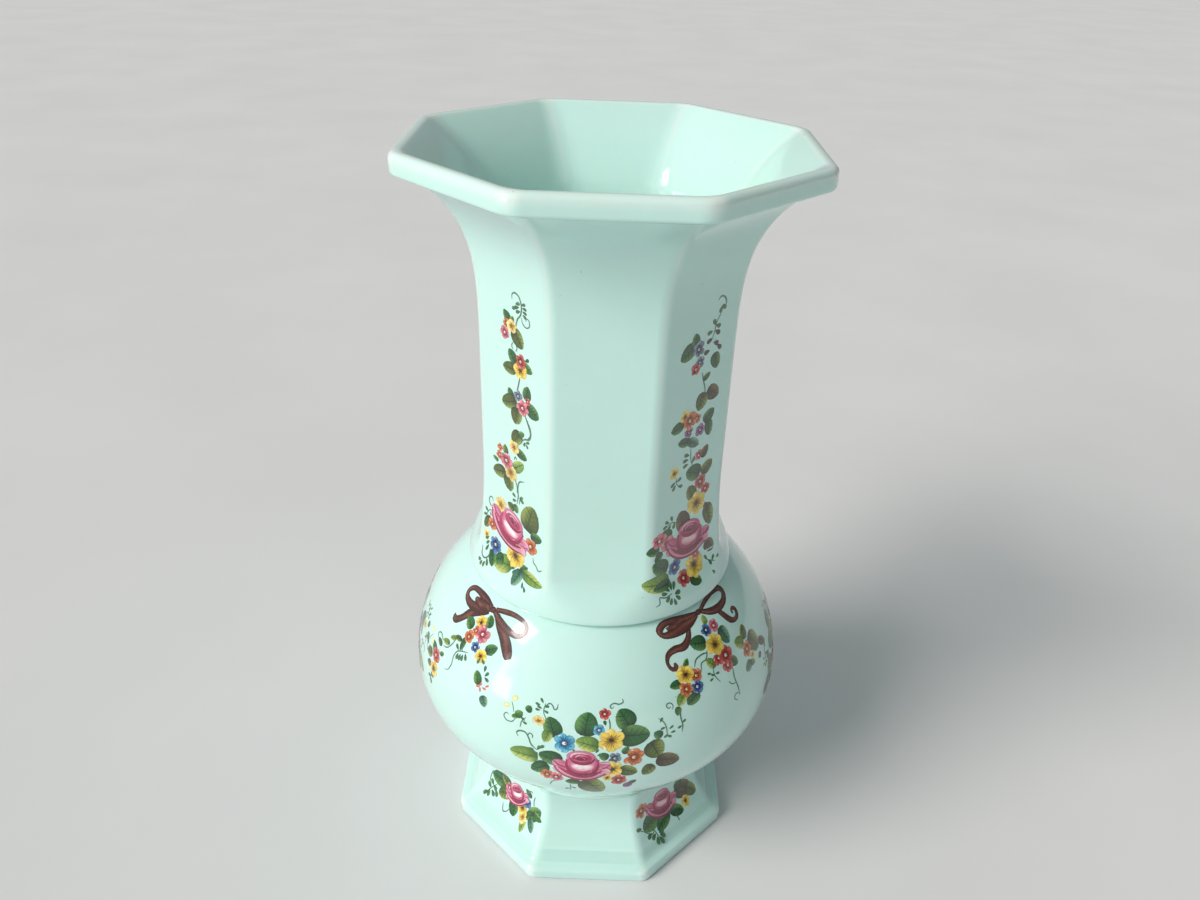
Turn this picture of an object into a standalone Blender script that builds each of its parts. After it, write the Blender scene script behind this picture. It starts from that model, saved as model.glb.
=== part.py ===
"""Octagonal porcelain vase: three slip castings, a neck, a bulb and a foot, luted into each other.

Metres, +Z up. The vase stands on z = 0 with its axis on Z, and a facet's middle faces -Y.
Every casting is a wall whose cross-section is a closed line of stations. A station is a height, half the
width across flats, and the radius of the octagon's corners. A corner radius equal to the half width is a circle.
"""

import math

import bmesh
import bpy

# Driving dimensions
HEIGHT = 0.260
LIP_FLATS = 0.121
NECK_FLATS = 0.0777
COLLAR_DIAMETER = 0.0928
BULB_DIAMETER = 0.1336
FOOT_WAIST_FLATS = 0.0794
FOOT_FLATS = 0.104
WALL = 0.0042

# Heights where the shape changes
COLLAR_HEIGHT = 0.1186
EQUATOR_HEIGHT = 0.0743
BEAD_HEIGHT = 0.0332
BAND_HEIGHT = 0.0062

# The lip band and the trumpet below it
LIP_BAND = 0.0063
LIP_THICKNESS = 0.0050
LIP_ROUNDING = 0.0020
FLARE_START = 0.190
FLARE_REACH = 0.0170
FLARE_POWER = 5
COLLAR_FLARE = 0.0145
NECK_SWELL_TOP = 0.1621
NECK_SWELL_FLATS = 0.0811

# The bulb's outline
SHOULDER_ARC = 0.0532
HAUNCH_ARC = 0.027
HAUNCH_TURN = math.radians(37)
UNDERSIDE_ARC = 0.200
BEAD_RADIUS = 0.0430
BEAD_ROUND = 0.0014
COLLAR_REVEAL = 0.0012
COLLAR_EASE = 0.0006

# The foot's outline
FOOT_FLARE_POWER = 2.2
FOOT_FLARE_TOP = 0.030
COVE_FLATS = 0.0930
BAND_ROUNDING = 0.0016
STANDING_RING = 0.004
RING_EASE = 0.0008

# The laps where the castings are luted
LUTE_GAP = 0.0003
NECK_LAP_RADIUS = 0.0415
NECK_LAP_HEIGHT = 0.0058
NECK_LAP_LEAD = 0.0022
BULB_MOUTH_RADIUS = 0.0388
BULB_MOUTH_DEPTH = 0.004
FOOT_LAP_RADIUS = 0.0348
FOOT_LAP_HEIGHT = 0.0045
FOOT_LAP_WALL = 0.0036
FLOOR_THICKNESS = 0.0052
FLOOR_EASE = 0.004

# Corner radii of the octagon
LIP_CORNER = 0.0055
NECK_CORNER = 0.0060
FOOT_CORNER = 0.0050

SIDES = 48
EIGHTH = math.pi / 4


def octagon_radius(angle, half_flats, corner):
    """Distance from the axis to an octagon with rounded corners, in a direction given by its angle."""
    turn = abs((angle + EIGHTH / 2) % EIGHTH - EIGHTH / 2)
    inset = half_flats - corner
    flat_end = math.atan(inset * math.tan(EIGHTH / 2) / half_flats)
    if turn <= flat_end:
        return half_flats / math.cos(turn)
    centre = inset / math.cos(EIGHTH / 2)
    off = EIGHTH / 2 - turn
    return centre * math.cos(off) + math.sqrt(corner**2 - (centre * math.sin(off)) ** 2)


def octagon(height, half_flats, corner):
    return (height, half_flats, min(corner, half_flats))


def circle(height, radius):
    return (height, radius, radius)


def arc(centre, radius, start, end, steps):
    """(half width, height) points along an arc in the section plane. Angles count up from the +X side."""
    points = []
    for step in range(steps + 1):
        angle = start + (end - start) * step / steps
        points.append((centre[0] + radius * math.cos(angle), centre[1] + radius * math.sin(angle)))
    return points


def between(low, high, steps):
    return [low + (high - low) * step / steps for step in range(steps + 1)]


def inside_of(outline, wall):
    """The wall's inner line: every (half width, height) point of an upward outline moved in square to it."""
    inner = []
    for index, (width, height) in enumerate(outline):
        before = outline[max(index - 1, 0)]
        after = outline[min(index + 1, len(outline) - 1)]
        across, up = after[0] - before[0], after[1] - before[1]
        length = math.hypot(across, up)
        inner.append((width - wall * up / length, height + wall * across / length))
    return inner


def porcelain(name, tint):
    material = bpy.data.materials.new(name)
    material.use_nodes = True
    shader = material.node_tree.nodes["Principled BSDF"]
    shader.inputs["Base Color"].default_value = (*tint, 1.0)
    shader.inputs["Metallic"].default_value = 0.0
    shader.inputs["Roughness"].default_value = 0.12
    return material


def add_ring(mesh, station):
    height, half_flats, corner = station
    ring = []
    for side in range(SIDES):
        angle = 2 * math.pi * side / SIDES - math.pi / 2
        radius = octagon_radius(angle, half_flats, corner)
        ring.append(mesh.verts.new((radius * math.cos(angle), radius * math.sin(angle), height)))
    return ring


def join_rings(mesh, lower, upper):
    for side in range(SIDES):
        after = (side + 1) % SIDES
        mesh.faces.new((lower[side], lower[after], upper[after], upper[side]))


def close_on_axis(mesh, ring, height):
    centre = mesh.verts.new((0.0, 0.0, height))
    for side in range(SIDES):
        mesh.faces.new((ring[side], ring[(side + 1) % SIDES], centre))


def add_casting(name, stations, tint, axis_heights=None):
    """One casting. With no axis heights the stations run round a closed section, so the wall is open at both
    ends. With them the first and the last station close on the axis at those heights, as a vessel's floor does."""
    mesh = bmesh.new()
    rings = [add_ring(mesh, station) for station in stations]
    for lower, upper in zip(rings, rings[1:]):
        join_rings(mesh, lower, upper)
    if axis_heights is None:
        join_rings(mesh, rings[-1], rings[0])
    else:
        close_on_axis(mesh, rings[0], axis_heights[0])
        close_on_axis(mesh, rings[-1], axis_heights[1])
    bmesh.ops.recalc_face_normals(mesh, faces=mesh.faces)
    data = bpy.data.meshes.new(name)
    mesh.to_mesh(data)
    mesh.free()
    data.shade_smooth()
    data.set_sharp_from_angle(angle=math.radians(40))
    data.materials.append(porcelain(name + "_porcelain", tint))
    casting = bpy.data.objects.new(name, data)
    bpy.context.scene.collection.objects.link(casting)
    return casting


def neck_half_flats(height):
    """Half width across flats of the neck's outside: a slight swell at its foot and a trumpet at its top."""
    width = NECK_FLATS / 2
    if height > FLARE_START:
        run = (height - FLARE_START) / (HEIGHT - LIP_BAND - FLARE_START)
        width += FLARE_REACH * run**FLARE_POWER
    elif height < NECK_SWELL_TOP:
        run = (NECK_SWELL_TOP - height) / (NECK_SWELL_TOP - COLLAR_HEIGHT - COLLAR_FLARE)
        width += (NECK_SWELL_FLATS - NECK_FLATS) / 2 * run**2
    return width


def collar_flare():
    """Stations from the octagonal neck down to the round collar, an S in section."""
    stations = []
    for run in between(0.0, 1.0, 7)[1:]:
        ease = run * run * (3 - 2 * run)
        width = NECK_SWELL_FLATS / 2 + (COLLAR_DIAMETER - NECK_SWELL_FLATS) / 2 * ease
        corner = NECK_CORNER + (width - NECK_CORNER) * ease
        stations.append(octagon(COLLAR_HEIGHT + COLLAR_FLARE * (1 - run), width, corner))
    return stations


def neck_outline():
    """(half width, height) points of the neck's outside, from the top of the collar up to the lip band."""
    heights = between(COLLAR_HEIGHT + COLLAR_FLARE, FLARE_START, 6)
    heights += between(FLARE_START, HEIGHT - LIP_BAND, 11)[1:]
    return [(neck_half_flats(height), height) for height in heights]


def lip_stations():
    """Stations up the lip band's outside, over its rounded edge and down to the mouth."""
    lip = LIP_FLATS / 2
    band_bottom = HEIGHT - LIP_BAND
    crest = HEIGHT - LIP_ROUNDING
    stations = [octagon(band_bottom, lip - 0.5 * LIP_ROUNDING, LIP_CORNER)]
    stations.append(octagon(band_bottom + 0.5 * LIP_ROUNDING, lip, LIP_CORNER))
    edges = arc((lip - LIP_ROUNDING, crest), LIP_ROUNDING, 0, math.pi / 2, 3)
    edges += arc((lip - LIP_THICKNESS + LIP_ROUNDING, crest), LIP_ROUNDING, math.pi / 2, math.pi, 3)
    for half_flats, height in edges:
        stations.append(octagon(height, half_flats, LIP_CORNER))
    return stations


def neck_stations():
    outline = neck_outline()
    bore = inside_of(outline, WALL)[2:]
    lap_top = COLLAR_HEIGHT + NECK_LAP_HEIGHT + LUTE_GAP
    lap_radius = NECK_LAP_RADIUS + LUTE_GAP
    stations = lip_stations()
    for half_flats, height in reversed(bore):
        stations.append(octagon(height, half_flats, NECK_CORNER))
    # The rebate that sits over the bulb's mouth.
    stations.append(circle(lap_top + NECK_LAP_LEAD, BULB_MOUTH_RADIUS))
    stations.append(circle(lap_top, BULB_MOUTH_RADIUS))
    stations.append(circle(lap_top, lap_radius))
    stations.append(circle(COLLAR_HEIGHT, lap_radius))
    # The collar's edge and the outside, back up to the lip band.
    stations.append(circle(COLLAR_HEIGHT, COLLAR_DIAMETER / 2 - COLLAR_EASE))
    stations.extend(reversed(collar_flare()))
    for half_flats, height in outline:
        stations.append(octagon(height, half_flats, NECK_CORNER))
    return stations


def bulb_outline():
    """(radius, height) points of the bulb's outside, from the collar down to the bead."""
    radius = BULB_DIAMETER / 2
    top = COLLAR_HEIGHT - LUTE_GAP
    shoulder = (radius - SHOULDER_ARC, EQUATOR_HEIGHT)
    start = math.asin((top - COLLAR_EASE - EQUATOR_HEIGHT) / SHOULDER_ARC)
    points = arc(shoulder, SHOULDER_ARC, start, 0, 9)
    haunch = (radius - HAUNCH_ARC, EQUATOR_HEIGHT)
    points += arc(haunch, HAUNCH_ARC, 0, -HAUNCH_TURN, 5)[1:]
    width, height = points[-1]
    centre = (
        width - UNDERSIDE_ARC * math.cos(HAUNCH_TURN),
        height + UNDERSIDE_ARC * math.sin(HAUNCH_TURN),
    )
    bead_top = BEAD_HEIGHT + 2 * BEAD_ROUND
    end = math.asin((centre[1] - bead_top) / UNDERSIDE_ARC)
    points += arc(centre, UNDERSIDE_ARC, -HAUNCH_TURN, -end, 3)[1:]
    return points


def bulb_stations():
    top = COLLAR_HEIGHT - LUTE_GAP
    outline = bulb_outline()
    floor = BEAD_HEIGHT + FLOOR_THICKNESS
    stations = []
    # The underside, from the axis out to the bead.
    stations.append(circle(BEAD_HEIGHT, FOOT_LAP_RADIUS - FOOT_LAP_WALL))
    stations.append(circle(BEAD_HEIGHT - FOOT_LAP_HEIGHT, FOOT_LAP_RADIUS - FOOT_LAP_WALL))
    stations.append(circle(BEAD_HEIGHT - FOOT_LAP_HEIGHT, FOOT_LAP_RADIUS))
    stations.append(circle(BEAD_HEIGHT, FOOT_LAP_RADIUS))
    bead = (BEAD_RADIUS - BEAD_ROUND, BEAD_HEIGHT + BEAD_ROUND)
    for radius, height in arc(bead, BEAD_ROUND, -math.pi / 2, math.pi / 3, 5):
        stations.append(circle(height, radius))
    for radius, height in reversed(outline):
        stations.append(circle(height, radius))
    # The seat under the collar and the lap that stands inside the neck.
    stations.append(circle(top, outline[0][0] - COLLAR_REVEAL))
    stations.append(circle(top, NECK_LAP_RADIUS))
    stations.append(circle(COLLAR_HEIGHT + NECK_LAP_HEIGHT, NECK_LAP_RADIUS))
    stations.append(circle(COLLAR_HEIGHT + NECK_LAP_HEIGHT, BULB_MOUTH_RADIUS))
    # The inside, from the mouth down the wall to the floor.
    mouth_bottom = top - BULB_MOUTH_DEPTH
    stations.append(circle(mouth_bottom, BULB_MOUTH_RADIUS))
    wall_line = inside_of(outline[::-1], WALL)
    hollow = [point for point in wall_line if floor + FLOOR_EASE < point[1] < mouth_bottom - FLOOR_EASE / 2]
    for radius, height in reversed(hollow):
        stations.append(circle(height, radius))
    stations.append(circle(floor, hollow[0][0] - FLOOR_EASE))
    return stations


def foot_half_flats(height):
    """Half width across flats of the foot's outside above the base band: a waist that flares downwards."""
    cove = COVE_FLATS / 2
    waist = FOOT_WAIST_FLATS / 2
    run = (FOOT_FLARE_TOP - height) / (FOOT_FLARE_TOP - BAND_HEIGHT)
    return waist + (cove - waist) * max(0.0, run) ** FOOT_FLARE_POWER


def foot_stations():
    base = FOOT_FLATS / 2
    top = BEAD_HEIGHT - LUTE_GAP
    stations = []
    # The outside: the base band, the cove above it and the waist.
    stations.append(octagon(0.0, base - RING_EASE, FOOT_CORNER))
    stations.append(octagon(RING_EASE, base, FOOT_CORNER))
    edge = (base - BAND_ROUNDING, BAND_HEIGHT - BAND_ROUNDING)
    for half_flats, height in arc(edge, BAND_ROUNDING, 0, math.pi / 2, 3):
        stations.append(octagon(height, half_flats, FOOT_CORNER))
    for height in between(BAND_HEIGHT + RING_EASE, FOOT_FLARE_TOP, 7):
        stations.append(octagon(height, foot_half_flats(height), FOOT_CORNER))
    stations.append(octagon(top, FOOT_WAIST_FLATS / 2, FOOT_CORNER))
    # The round lap at the top and the hollow inside.
    stations.append(circle(top, FOOT_LAP_RADIUS + LUTE_GAP))
    lap_bottom = BEAD_HEIGHT - FOOT_LAP_HEIGHT - LUTE_GAP
    stations.append(circle(lap_bottom, FOOT_LAP_RADIUS + LUTE_GAP))
    for height in reversed(between(BAND_HEIGHT, lap_bottom - FOOT_LAP_WALL, 4)):
        stations.append(octagon(height, foot_half_flats(height) - WALL, FOOT_CORNER))
    ring_inside = base - RING_EASE - STANDING_RING
    stations.append(octagon(RING_EASE, ring_inside - RING_EASE, FOOT_CORNER))
    stations.append(octagon(0.0, ring_inside, FOOT_CORNER))
    return stations


def main():
    for leftover in list(bpy.data.objects):
        bpy.data.objects.remove(leftover)
    add_casting("neck", neck_stations(), (0.86, 0.92, 0.89))
    floor_height = BEAD_HEIGHT + FLOOR_THICKNESS
    add_casting("bulb", bulb_stations(), (0.85, 0.92, 0.90), axis_heights=(BEAD_HEIGHT, floor_height))
    add_casting("foot", foot_stations(), (0.84, 0.91, 0.89))


main()
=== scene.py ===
"""The looks of a hand-painted octagonal porcelain vase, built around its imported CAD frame.

Lengths here are millimetres, and turn into metres only where a mesh, a lamp or the camera is made.
The body is three glazed castings. The painting is thin enamel laid on them, each brush mark a closed film.
"""

import math

import bpy
import numpy as np
from mathutils import Matrix, Vector


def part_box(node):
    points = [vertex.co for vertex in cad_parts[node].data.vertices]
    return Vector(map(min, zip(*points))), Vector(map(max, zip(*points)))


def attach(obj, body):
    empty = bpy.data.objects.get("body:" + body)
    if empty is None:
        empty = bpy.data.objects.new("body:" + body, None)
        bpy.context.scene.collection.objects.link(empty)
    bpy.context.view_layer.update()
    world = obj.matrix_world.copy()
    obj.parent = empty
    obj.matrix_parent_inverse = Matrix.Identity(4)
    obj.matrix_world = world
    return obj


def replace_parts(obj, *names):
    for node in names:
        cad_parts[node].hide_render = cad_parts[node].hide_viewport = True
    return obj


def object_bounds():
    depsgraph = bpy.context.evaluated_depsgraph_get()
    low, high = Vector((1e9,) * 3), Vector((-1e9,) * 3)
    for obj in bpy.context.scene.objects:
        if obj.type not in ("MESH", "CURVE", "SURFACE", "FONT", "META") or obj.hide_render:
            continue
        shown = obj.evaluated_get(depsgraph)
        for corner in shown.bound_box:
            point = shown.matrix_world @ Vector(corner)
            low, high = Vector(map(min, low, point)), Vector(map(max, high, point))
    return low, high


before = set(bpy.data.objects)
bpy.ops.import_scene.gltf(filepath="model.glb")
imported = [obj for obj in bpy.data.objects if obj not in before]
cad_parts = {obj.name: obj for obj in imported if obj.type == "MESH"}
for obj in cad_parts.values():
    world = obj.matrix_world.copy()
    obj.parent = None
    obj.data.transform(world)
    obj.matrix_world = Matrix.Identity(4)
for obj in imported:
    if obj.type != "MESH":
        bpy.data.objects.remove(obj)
cad_low, cad_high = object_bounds()

MM = 0.001
EIGHTH = math.pi / 4

# ---------------------------------------------------------------- sizes taken from the frame
neck_low, neck_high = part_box("neck")
bulb_low, bulb_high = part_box("bulb")
foot_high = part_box("foot")[1]
HEIGHT = cad_high.z / MM
LIP_HALF = neck_high.x / MM
COLLAR_HEIGHT = neck_low.z / MM
BULB_RADIUS = bulb_high.x / MM
LAP_TOP = bulb_high.z / MM
LAP_BOTTOM = bulb_low.z / MM
FOOT_HALF = foot_high.x / MM
FOOT_TOP = foot_high.z / MM

# ---------------------------------------------------------------- the rest of the outline
# A half is half the width across flats. A corner is the radius of the octagon's rounded corners.
WALL = 4.2
LUTE_GAP = 0.3
NECK_HALF = 38.85
SWELL_HALF = 40.55
SWELL_TOP = 162.1
COLLAR_RADIUS = 46.4
COLLAR_TOP = COLLAR_HEIGHT + 14.5
COLLAR_EASE = 0.7
COLLAR_LEAD = 1.5
LIP_BAND_BOTTOM = HEIGHT - 6.3
LIP_FILLET = 1.2
LIP_EDGE = 1.1
LIP_REVEAL = 2.2
LIP_THICKNESS = 5.0
LIP_ROUNDING = 2.0
LIP_INSIDE_ROUNDING = 2.6
LIP_SLOPE = 35
FUNNEL_REACH = 12.2
FLARE_START = 190.0
FLARE_REACH = 17.0
FLARE_POWER = 5
NECK_CORNER = 6.0
BORE_CORNER = 16.0
LIP_CORNER = 10.0
CORNER_START = math.radians(18.5)
FUNNEL_BOTTOM = 238.0
FOOT_CORNER = 5.0
EQUATOR = 74.3
SHOULDER_ARC = 53.2
HAUNCH_ARC = 27.0
HAUNCH_TURN = math.radians(37)
UNDERSIDE_ARC = 200.0
UNDERSIDE_TURN = math.radians(45.4)
BEAD_HEIGHT = FOOT_TOP + LUTE_GAP
BEAD_RADIUS = 43.0
BEAD_ROUND = 1.4
NECK_LAP_RADIUS = 41.5
NECK_LAP_LEAD = 2.2
MOUTH_RADIUS = 38.8
MOUTH_DEPTH = 4.0
FOOT_LAP_RADIUS = 34.8
FOOT_LAP_WALL = 3.6
FLOOR_THICKNESS = 5.2
FLOOR_EASE = 4.0
WAIST_HALF = 39.7
COVE_HALF = FOOT_HALF - 1.5
FOOT_FLARE_TOP = 30.0
FOOT_FLARE_POWER = 2.5
BAND_HEIGHT = 5.4
BAND_ROUNDING = 1.7
COVE_INSET = 1.3
COVE_DEPTH = 4.3
COVE_RISE = 1.2
COVE_TOP = 9.6
RING_WIDTH = 4.0
RING_EASE = 0.8
BARE_DEPTH = 0.3

# How deep the glaze lies at each place, from 0, run thin over an edge, to 1, a pool under a step
# The foot's depth is partly real pooling and partly painted shade: it is set deep so the foot is tinted
# darker and bluer, as shade low on the vase would make it.
POOL = {
    "rim": 0.15, "bead": 0.25, "base": 0.3, "wall": 0.4, "inside": 0.45, "edge": 0.5, "foot": 0.56,
    "floor": 0.7, "cove": 0.72, "lap": 0.8, "under_lip": 0.85, "joint": 0.9, "seam": 0.95,
}


def octagon_radius(angle, half, corner):
    """Distance from the axis to an octagon with rounded corners. All three may be arrays."""
    turn = np.abs((angle + EIGHTH / 2) % EIGHTH - EIGHTH / 2)
    inset = half - corner
    flat_end = np.arctan(inset * math.tan(EIGHTH / 2) / half)
    centre = inset / math.cos(EIGHTH / 2)
    off = EIGHTH / 2 - turn
    inside = np.maximum(corner**2 - (centre * np.sin(off)) ** 2, 0.0)
    return np.where(turn <= flat_end, half / np.cos(turn), centre * np.cos(off) + np.sqrt(inside))


def neck_section(height):
    """(half width across flats, corner radius) of the neck's outside at a height."""
    flare = np.clip((height - FLARE_START) / (LIP_BAND_BOTTOM - FLARE_START), 0, 1)
    swell = np.clip((SWELL_TOP - height) / (SWELL_TOP - COLLAR_TOP), 0, 1)
    half = NECK_HALF + FLARE_REACH * flare**FLARE_POWER + (SWELL_HALF - NECK_HALF) * swell**2
    run = np.clip((COLLAR_TOP - height) / (COLLAR_TOP - COLLAR_HEIGHT), 0, 1)
    ease = run * run * (3 - 2 * run)
    half = half + (COLLAR_RADIUS - SWELL_HALF) * ease
    return half, NECK_CORNER + (half - NECK_CORNER) * ease


def foot_section(height):
    """(half width across flats, corner radius) of the foot's outside above its base band."""
    run = np.clip((FOOT_FLARE_TOP - height) / (FOOT_FLARE_TOP - BAND_HEIGHT), 0, 1)
    half = WAIST_HALF + (COVE_HALF - WAIST_HALF) * run**FOOT_FLARE_POWER
    return half, FOOT_CORNER + 0 * half


SHOULDER_START = math.asin((COLLAR_HEIGHT - LUTE_GAP - EQUATOR) / SHOULDER_ARC)
SHOULDER_LENGTH = SHOULDER_ARC * SHOULDER_START
HAUNCH_LENGTH = HAUNCH_ARC * HAUNCH_TURN
BULB_LENGTH = SHOULDER_LENGTH + HAUNCH_LENGTH + UNDERSIDE_ARC * (UNDERSIDE_TURN - HAUNCH_TURN)


def bulb_section(down):
    """(radius, height) of the bulb's outside, so far down along its outline from the collar."""
    shoulder = np.clip(SHOULDER_START - down / SHOULDER_ARC, 0, SHOULDER_START)
    haunch = np.clip((down - SHOULDER_LENGTH) / HAUNCH_ARC, 0, HAUNCH_TURN)
    under = HAUNCH_TURN + np.maximum(down - SHOULDER_LENGTH - HAUNCH_LENGTH, 0) / UNDERSIDE_ARC
    radius = BULB_RADIUS - SHOULDER_ARC * (1 - np.cos(shoulder)) - HAUNCH_ARC * (1 - np.cos(haunch))
    height = EQUATOR + SHOULDER_ARC * np.sin(shoulder) - HAUNCH_ARC * np.sin(haunch)
    radius = radius - UNDERSIDE_ARC * (math.cos(HAUNCH_TURN) - np.cos(under))
    height = height - UNDERSIDE_ARC * (np.sin(under) - math.sin(HAUNCH_TURN))
    return radius, height


# ---------------------------------------------------------------- materials
def linear(red, green, blue):
    """A colour given as 0 to 255 screen values, in the linear values that shaders take."""
    channels = (red / 255, green / 255, blue / 255)
    return tuple(c / 12.92 if c <= 0.04 else ((c + 0.055) / 1.055) ** 2.4 for c in channels)


class Nodes:
    """A small helper that adds nodes to one material and wires them."""

    def __init__(self, name):
        self.material = bpy.data.materials.new(name)
        self.material.use_nodes = True
        self.tree = self.material.node_tree
        self.shader = self.tree.nodes["Principled BSDF"]
        self.place = self.tree.nodes.new("ShaderNodeTexCoord").outputs["Object"]

    def link(self, source, target):
        self.tree.links.new(source, target)

    def fixed(self, **values):
        for name, value in values.items():
            self.shader.inputs[name.replace("_", " ")].default_value = value

    def noise(self, size_mm, detail=2.0, roughness=0.5):
        node = self.tree.nodes.new("ShaderNodeTexNoise")
        node.inputs["Scale"].default_value = 1 / (size_mm * MM)
        node.inputs["Detail"].default_value = detail
        node.inputs["Roughness"].default_value = roughness
        self.link(self.place, node.inputs["Vector"])
        return node.outputs["Fac"]

    def spread(self, source, low, high, to_low, to_high):
        node = self.tree.nodes.new("ShaderNodeMapRange")
        for name, value in (("From Min", low), ("From Max", high), ("To Min", to_low), ("To Max", to_high)):
            node.inputs[name].default_value = value
        self.link(source, node.inputs["Value"])
        return node.outputs["Result"]

    def mix(self, share, first, second, blend="MIX"):
        node = self.tree.nodes.new("ShaderNodeMix")
        node.data_type = "RGBA"
        node.blend_type = blend
        for value, socket in ((share, node.inputs[0]), (first, node.inputs[6]), (second, node.inputs[7])):
            if isinstance(value, (int, float)):
                socket.default_value = value
            elif isinstance(value, tuple):
                socket.default_value = (*value, 1.0)
            else:
                self.link(value, socket)
        return node.outputs[2]

    def attribute(self, name, output):
        node = self.tree.nodes.new("ShaderNodeAttribute")
        node.attribute_name = name
        return node.outputs[output]

    def bump(self, *layers):
        """Each layer is (height, strength, distance in mm), laid one over the other."""
        normal = None
        for height, strength, distance_mm in layers:
            node = self.tree.nodes.new("ShaderNodeBump")
            node.inputs["Strength"].default_value = strength
            node.inputs["Distance"].default_value = distance_mm * MM
            self.link(height, node.inputs["Height"])
            if normal is not None:
                self.link(normal, node.inputs["Normal"])
            normal = node.outputs["Normal"]
        self.link(normal, self.shader.inputs["Normal"])


def glazed_porcelain():
    """White clay under a clear glaze: greener where the glaze pools, paler where it runs thin. The foot's
    deeper tint is partly real pooling and partly painted shade.
    """
    nodes = Nodes("glazed_porcelain")
    nodes.fixed(IOR=1.5, Coat_Weight=0.6, Coat_Roughness=0.07, Coat_IOR=1.5)
    nodes.fixed(Subsurface_Weight=0.12, Subsurface_Scale=0.002)
    cloud = nodes.spread(nodes.noise(55, 3), 0.3, 0.7, 0.0, 1.0)
    body = nodes.mix(cloud, linear(198, 240, 230), linear(203, 243, 238))
    pool = nodes.attribute("glaze", "Fac")
    body = nodes.mix(nodes.spread(pool, 0.5, 1.0, 0.0, 1.0), body, linear(176, 222, 212))
    body = nodes.mix(nodes.spread(pool, 0.0, 0.3, 1.0, 0.0), body, linear(224, 245, 240))
    speck = nodes.spread(nodes.noise(1.7, 1), 0.79, 0.83, 0.0, 0.35)
    body = nodes.mix(speck, body, linear(150, 146, 128))
    nodes.link(body, nodes.shader.inputs["Base Color"])
    wiped = nodes.spread(nodes.noise(14, 4, 0.6), 0.3, 0.75, 0.07, 0.15)
    nodes.link(wiped, nodes.shader.inputs["Roughness"])
    nodes.bump((nodes.noise(32, 1), 0.35, 0.5), (nodes.noise(2.4, 2), 0.10, 0.03))
    return nodes.material


def bare_porcelain():
    """The unglazed ring under the foot: matt, slightly sandy and a little stained."""
    nodes = Nodes("bare_porcelain")
    stain = nodes.spread(nodes.noise(6, 4, 0.6), 0.35, 0.7, 0.0, 1.0)
    body = nodes.mix(stain, linear(226, 221, 210), linear(196, 186, 168))
    nodes.link(body, nodes.shader.inputs["Base Color"])
    nodes.link(nodes.spread(nodes.noise(1.5, 3), 0.3, 0.7, 0.6, 0.85), nodes.shader.inputs["Roughness"])
    nodes.bump((nodes.noise(0.5, 3, 0.6), 0.5, 0.05))
    return nodes.material


def enamel(slot, roughness):
    """Overglaze enamel: the painted colour, uneven as a brush leaves it, on a soft low relief."""
    nodes = Nodes(slot)
    nodes.fixed(IOR=1.5, Coat_Weight=0.8, Coat_Roughness=0.07)
    uneven = nodes.spread(nodes.noise(0.9, 3, 0.6), 0.25, 0.75, 0.86, 1.08)
    veil = nodes.tree.nodes.new("ShaderNodeCombineColor")
    for channel in veil.inputs:
        nodes.link(uneven, channel)
    colour = nodes.mix(1.0, nodes.attribute("paint", "Color"), veil.outputs["Color"], "MULTIPLY")
    nodes.link(colour, nodes.shader.inputs["Base Color"])
    sheen = nodes.spread(nodes.noise(2.0, 2), 0.3, 0.7, roughness - 0.06, roughness + 0.08)
    nodes.link(sheen, nodes.shader.inputs["Roughness"])
    nodes.bump((nodes.noise(0.7, 2), 0.25, 0.04))
    return nodes.material


ENAMELS = {
    "leaves": ("leaf_enamel", 0.22),
    "roses": ("rose_enamel", 0.20),
    "yellows": ("yellow_enamel", 0.24),
    "blues": ("blue_enamel", 0.20),
    "reds": ("red_enamel", 0.22),
    "ribbons": ("ribbon_enamel", 0.26),
    "lines": ("line_enamel", 0.26),
}
PORCELAIN = glazed_porcelain()
BARE = bare_porcelain()
PAINTS = {family: enamel(slot, roughness) for family, (slot, roughness) in ENAMELS.items()}


def add_piece(name, points, faces, material, attribute, values):
    """One mesh object riding on the vase, its points' values in a colour attribute."""
    mesh = bpy.data.meshes.new(name)
    mesh.from_pydata((np.asarray(points) * MM).tolist(), [], faces)
    layer = mesh.color_attributes.new(name=attribute, type="FLOAT_COLOR", domain="POINT")
    colours = np.ones((len(points), 4), np.float32)
    colours[:, :3] = values
    layer.data.foreach_set("color", colours.ravel())
    mesh.materials.append(material)
    mesh.shade_smooth()
    mesh.set_sharp_from_angle(angle=math.radians(45))
    piece = bpy.data.objects.new(name, mesh)
    bpy.context.scene.collection.objects.link(piece)
    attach(piece, "root")
    return piece


# ---------------------------------------------------------------- the three castings
def ring_angles():
    """Directions round the vase, close together where the octagon's corners turn."""
    half = np.concatenate([np.linspace(0, CORNER_START, 10), np.linspace(CORNER_START, EIGHTH / 2, 9)[1:]])
    eighth = np.concatenate([-half[:0:-1], half[:-1]])
    return np.concatenate([eighth + step * EIGHTH for step in range(8)]) - math.pi / 2


ANGLES = ring_angles()


def circles(points, place="wall"):
    """Round stations through (radius, height) points."""
    return [(radius, height, radius, POOL[place]) for radius, height in points]


def octagons(points, corner, place):
    """Octagonal stations through (half width, height) points."""
    return [(half, height, corner, POOL[place]) for half, height in points]


def arc(centre, radius, start, end, steps):
    """(half width, height) points along an arc, its angles in degrees counted up from the outward side."""
    turns = np.radians(np.linspace(start, end, steps + 1))
    return [(centre[0] + radius * math.cos(a), centre[1] + radius * math.sin(a)) for a in turns]


def ease_between(first, bend, last, steps):
    """A fillet: a quadratic curve from the first point to the last, pulled towards the bend."""
    points = []
    for run in np.linspace(0, 1, steps + 1):
        early, middle, late = (1 - run) ** 2, 2 * run * (1 - run), run**2
        points.append(tuple(early * a + middle * b + late * c for a, b, c in zip(first, bend, last)))
    return points


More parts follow.
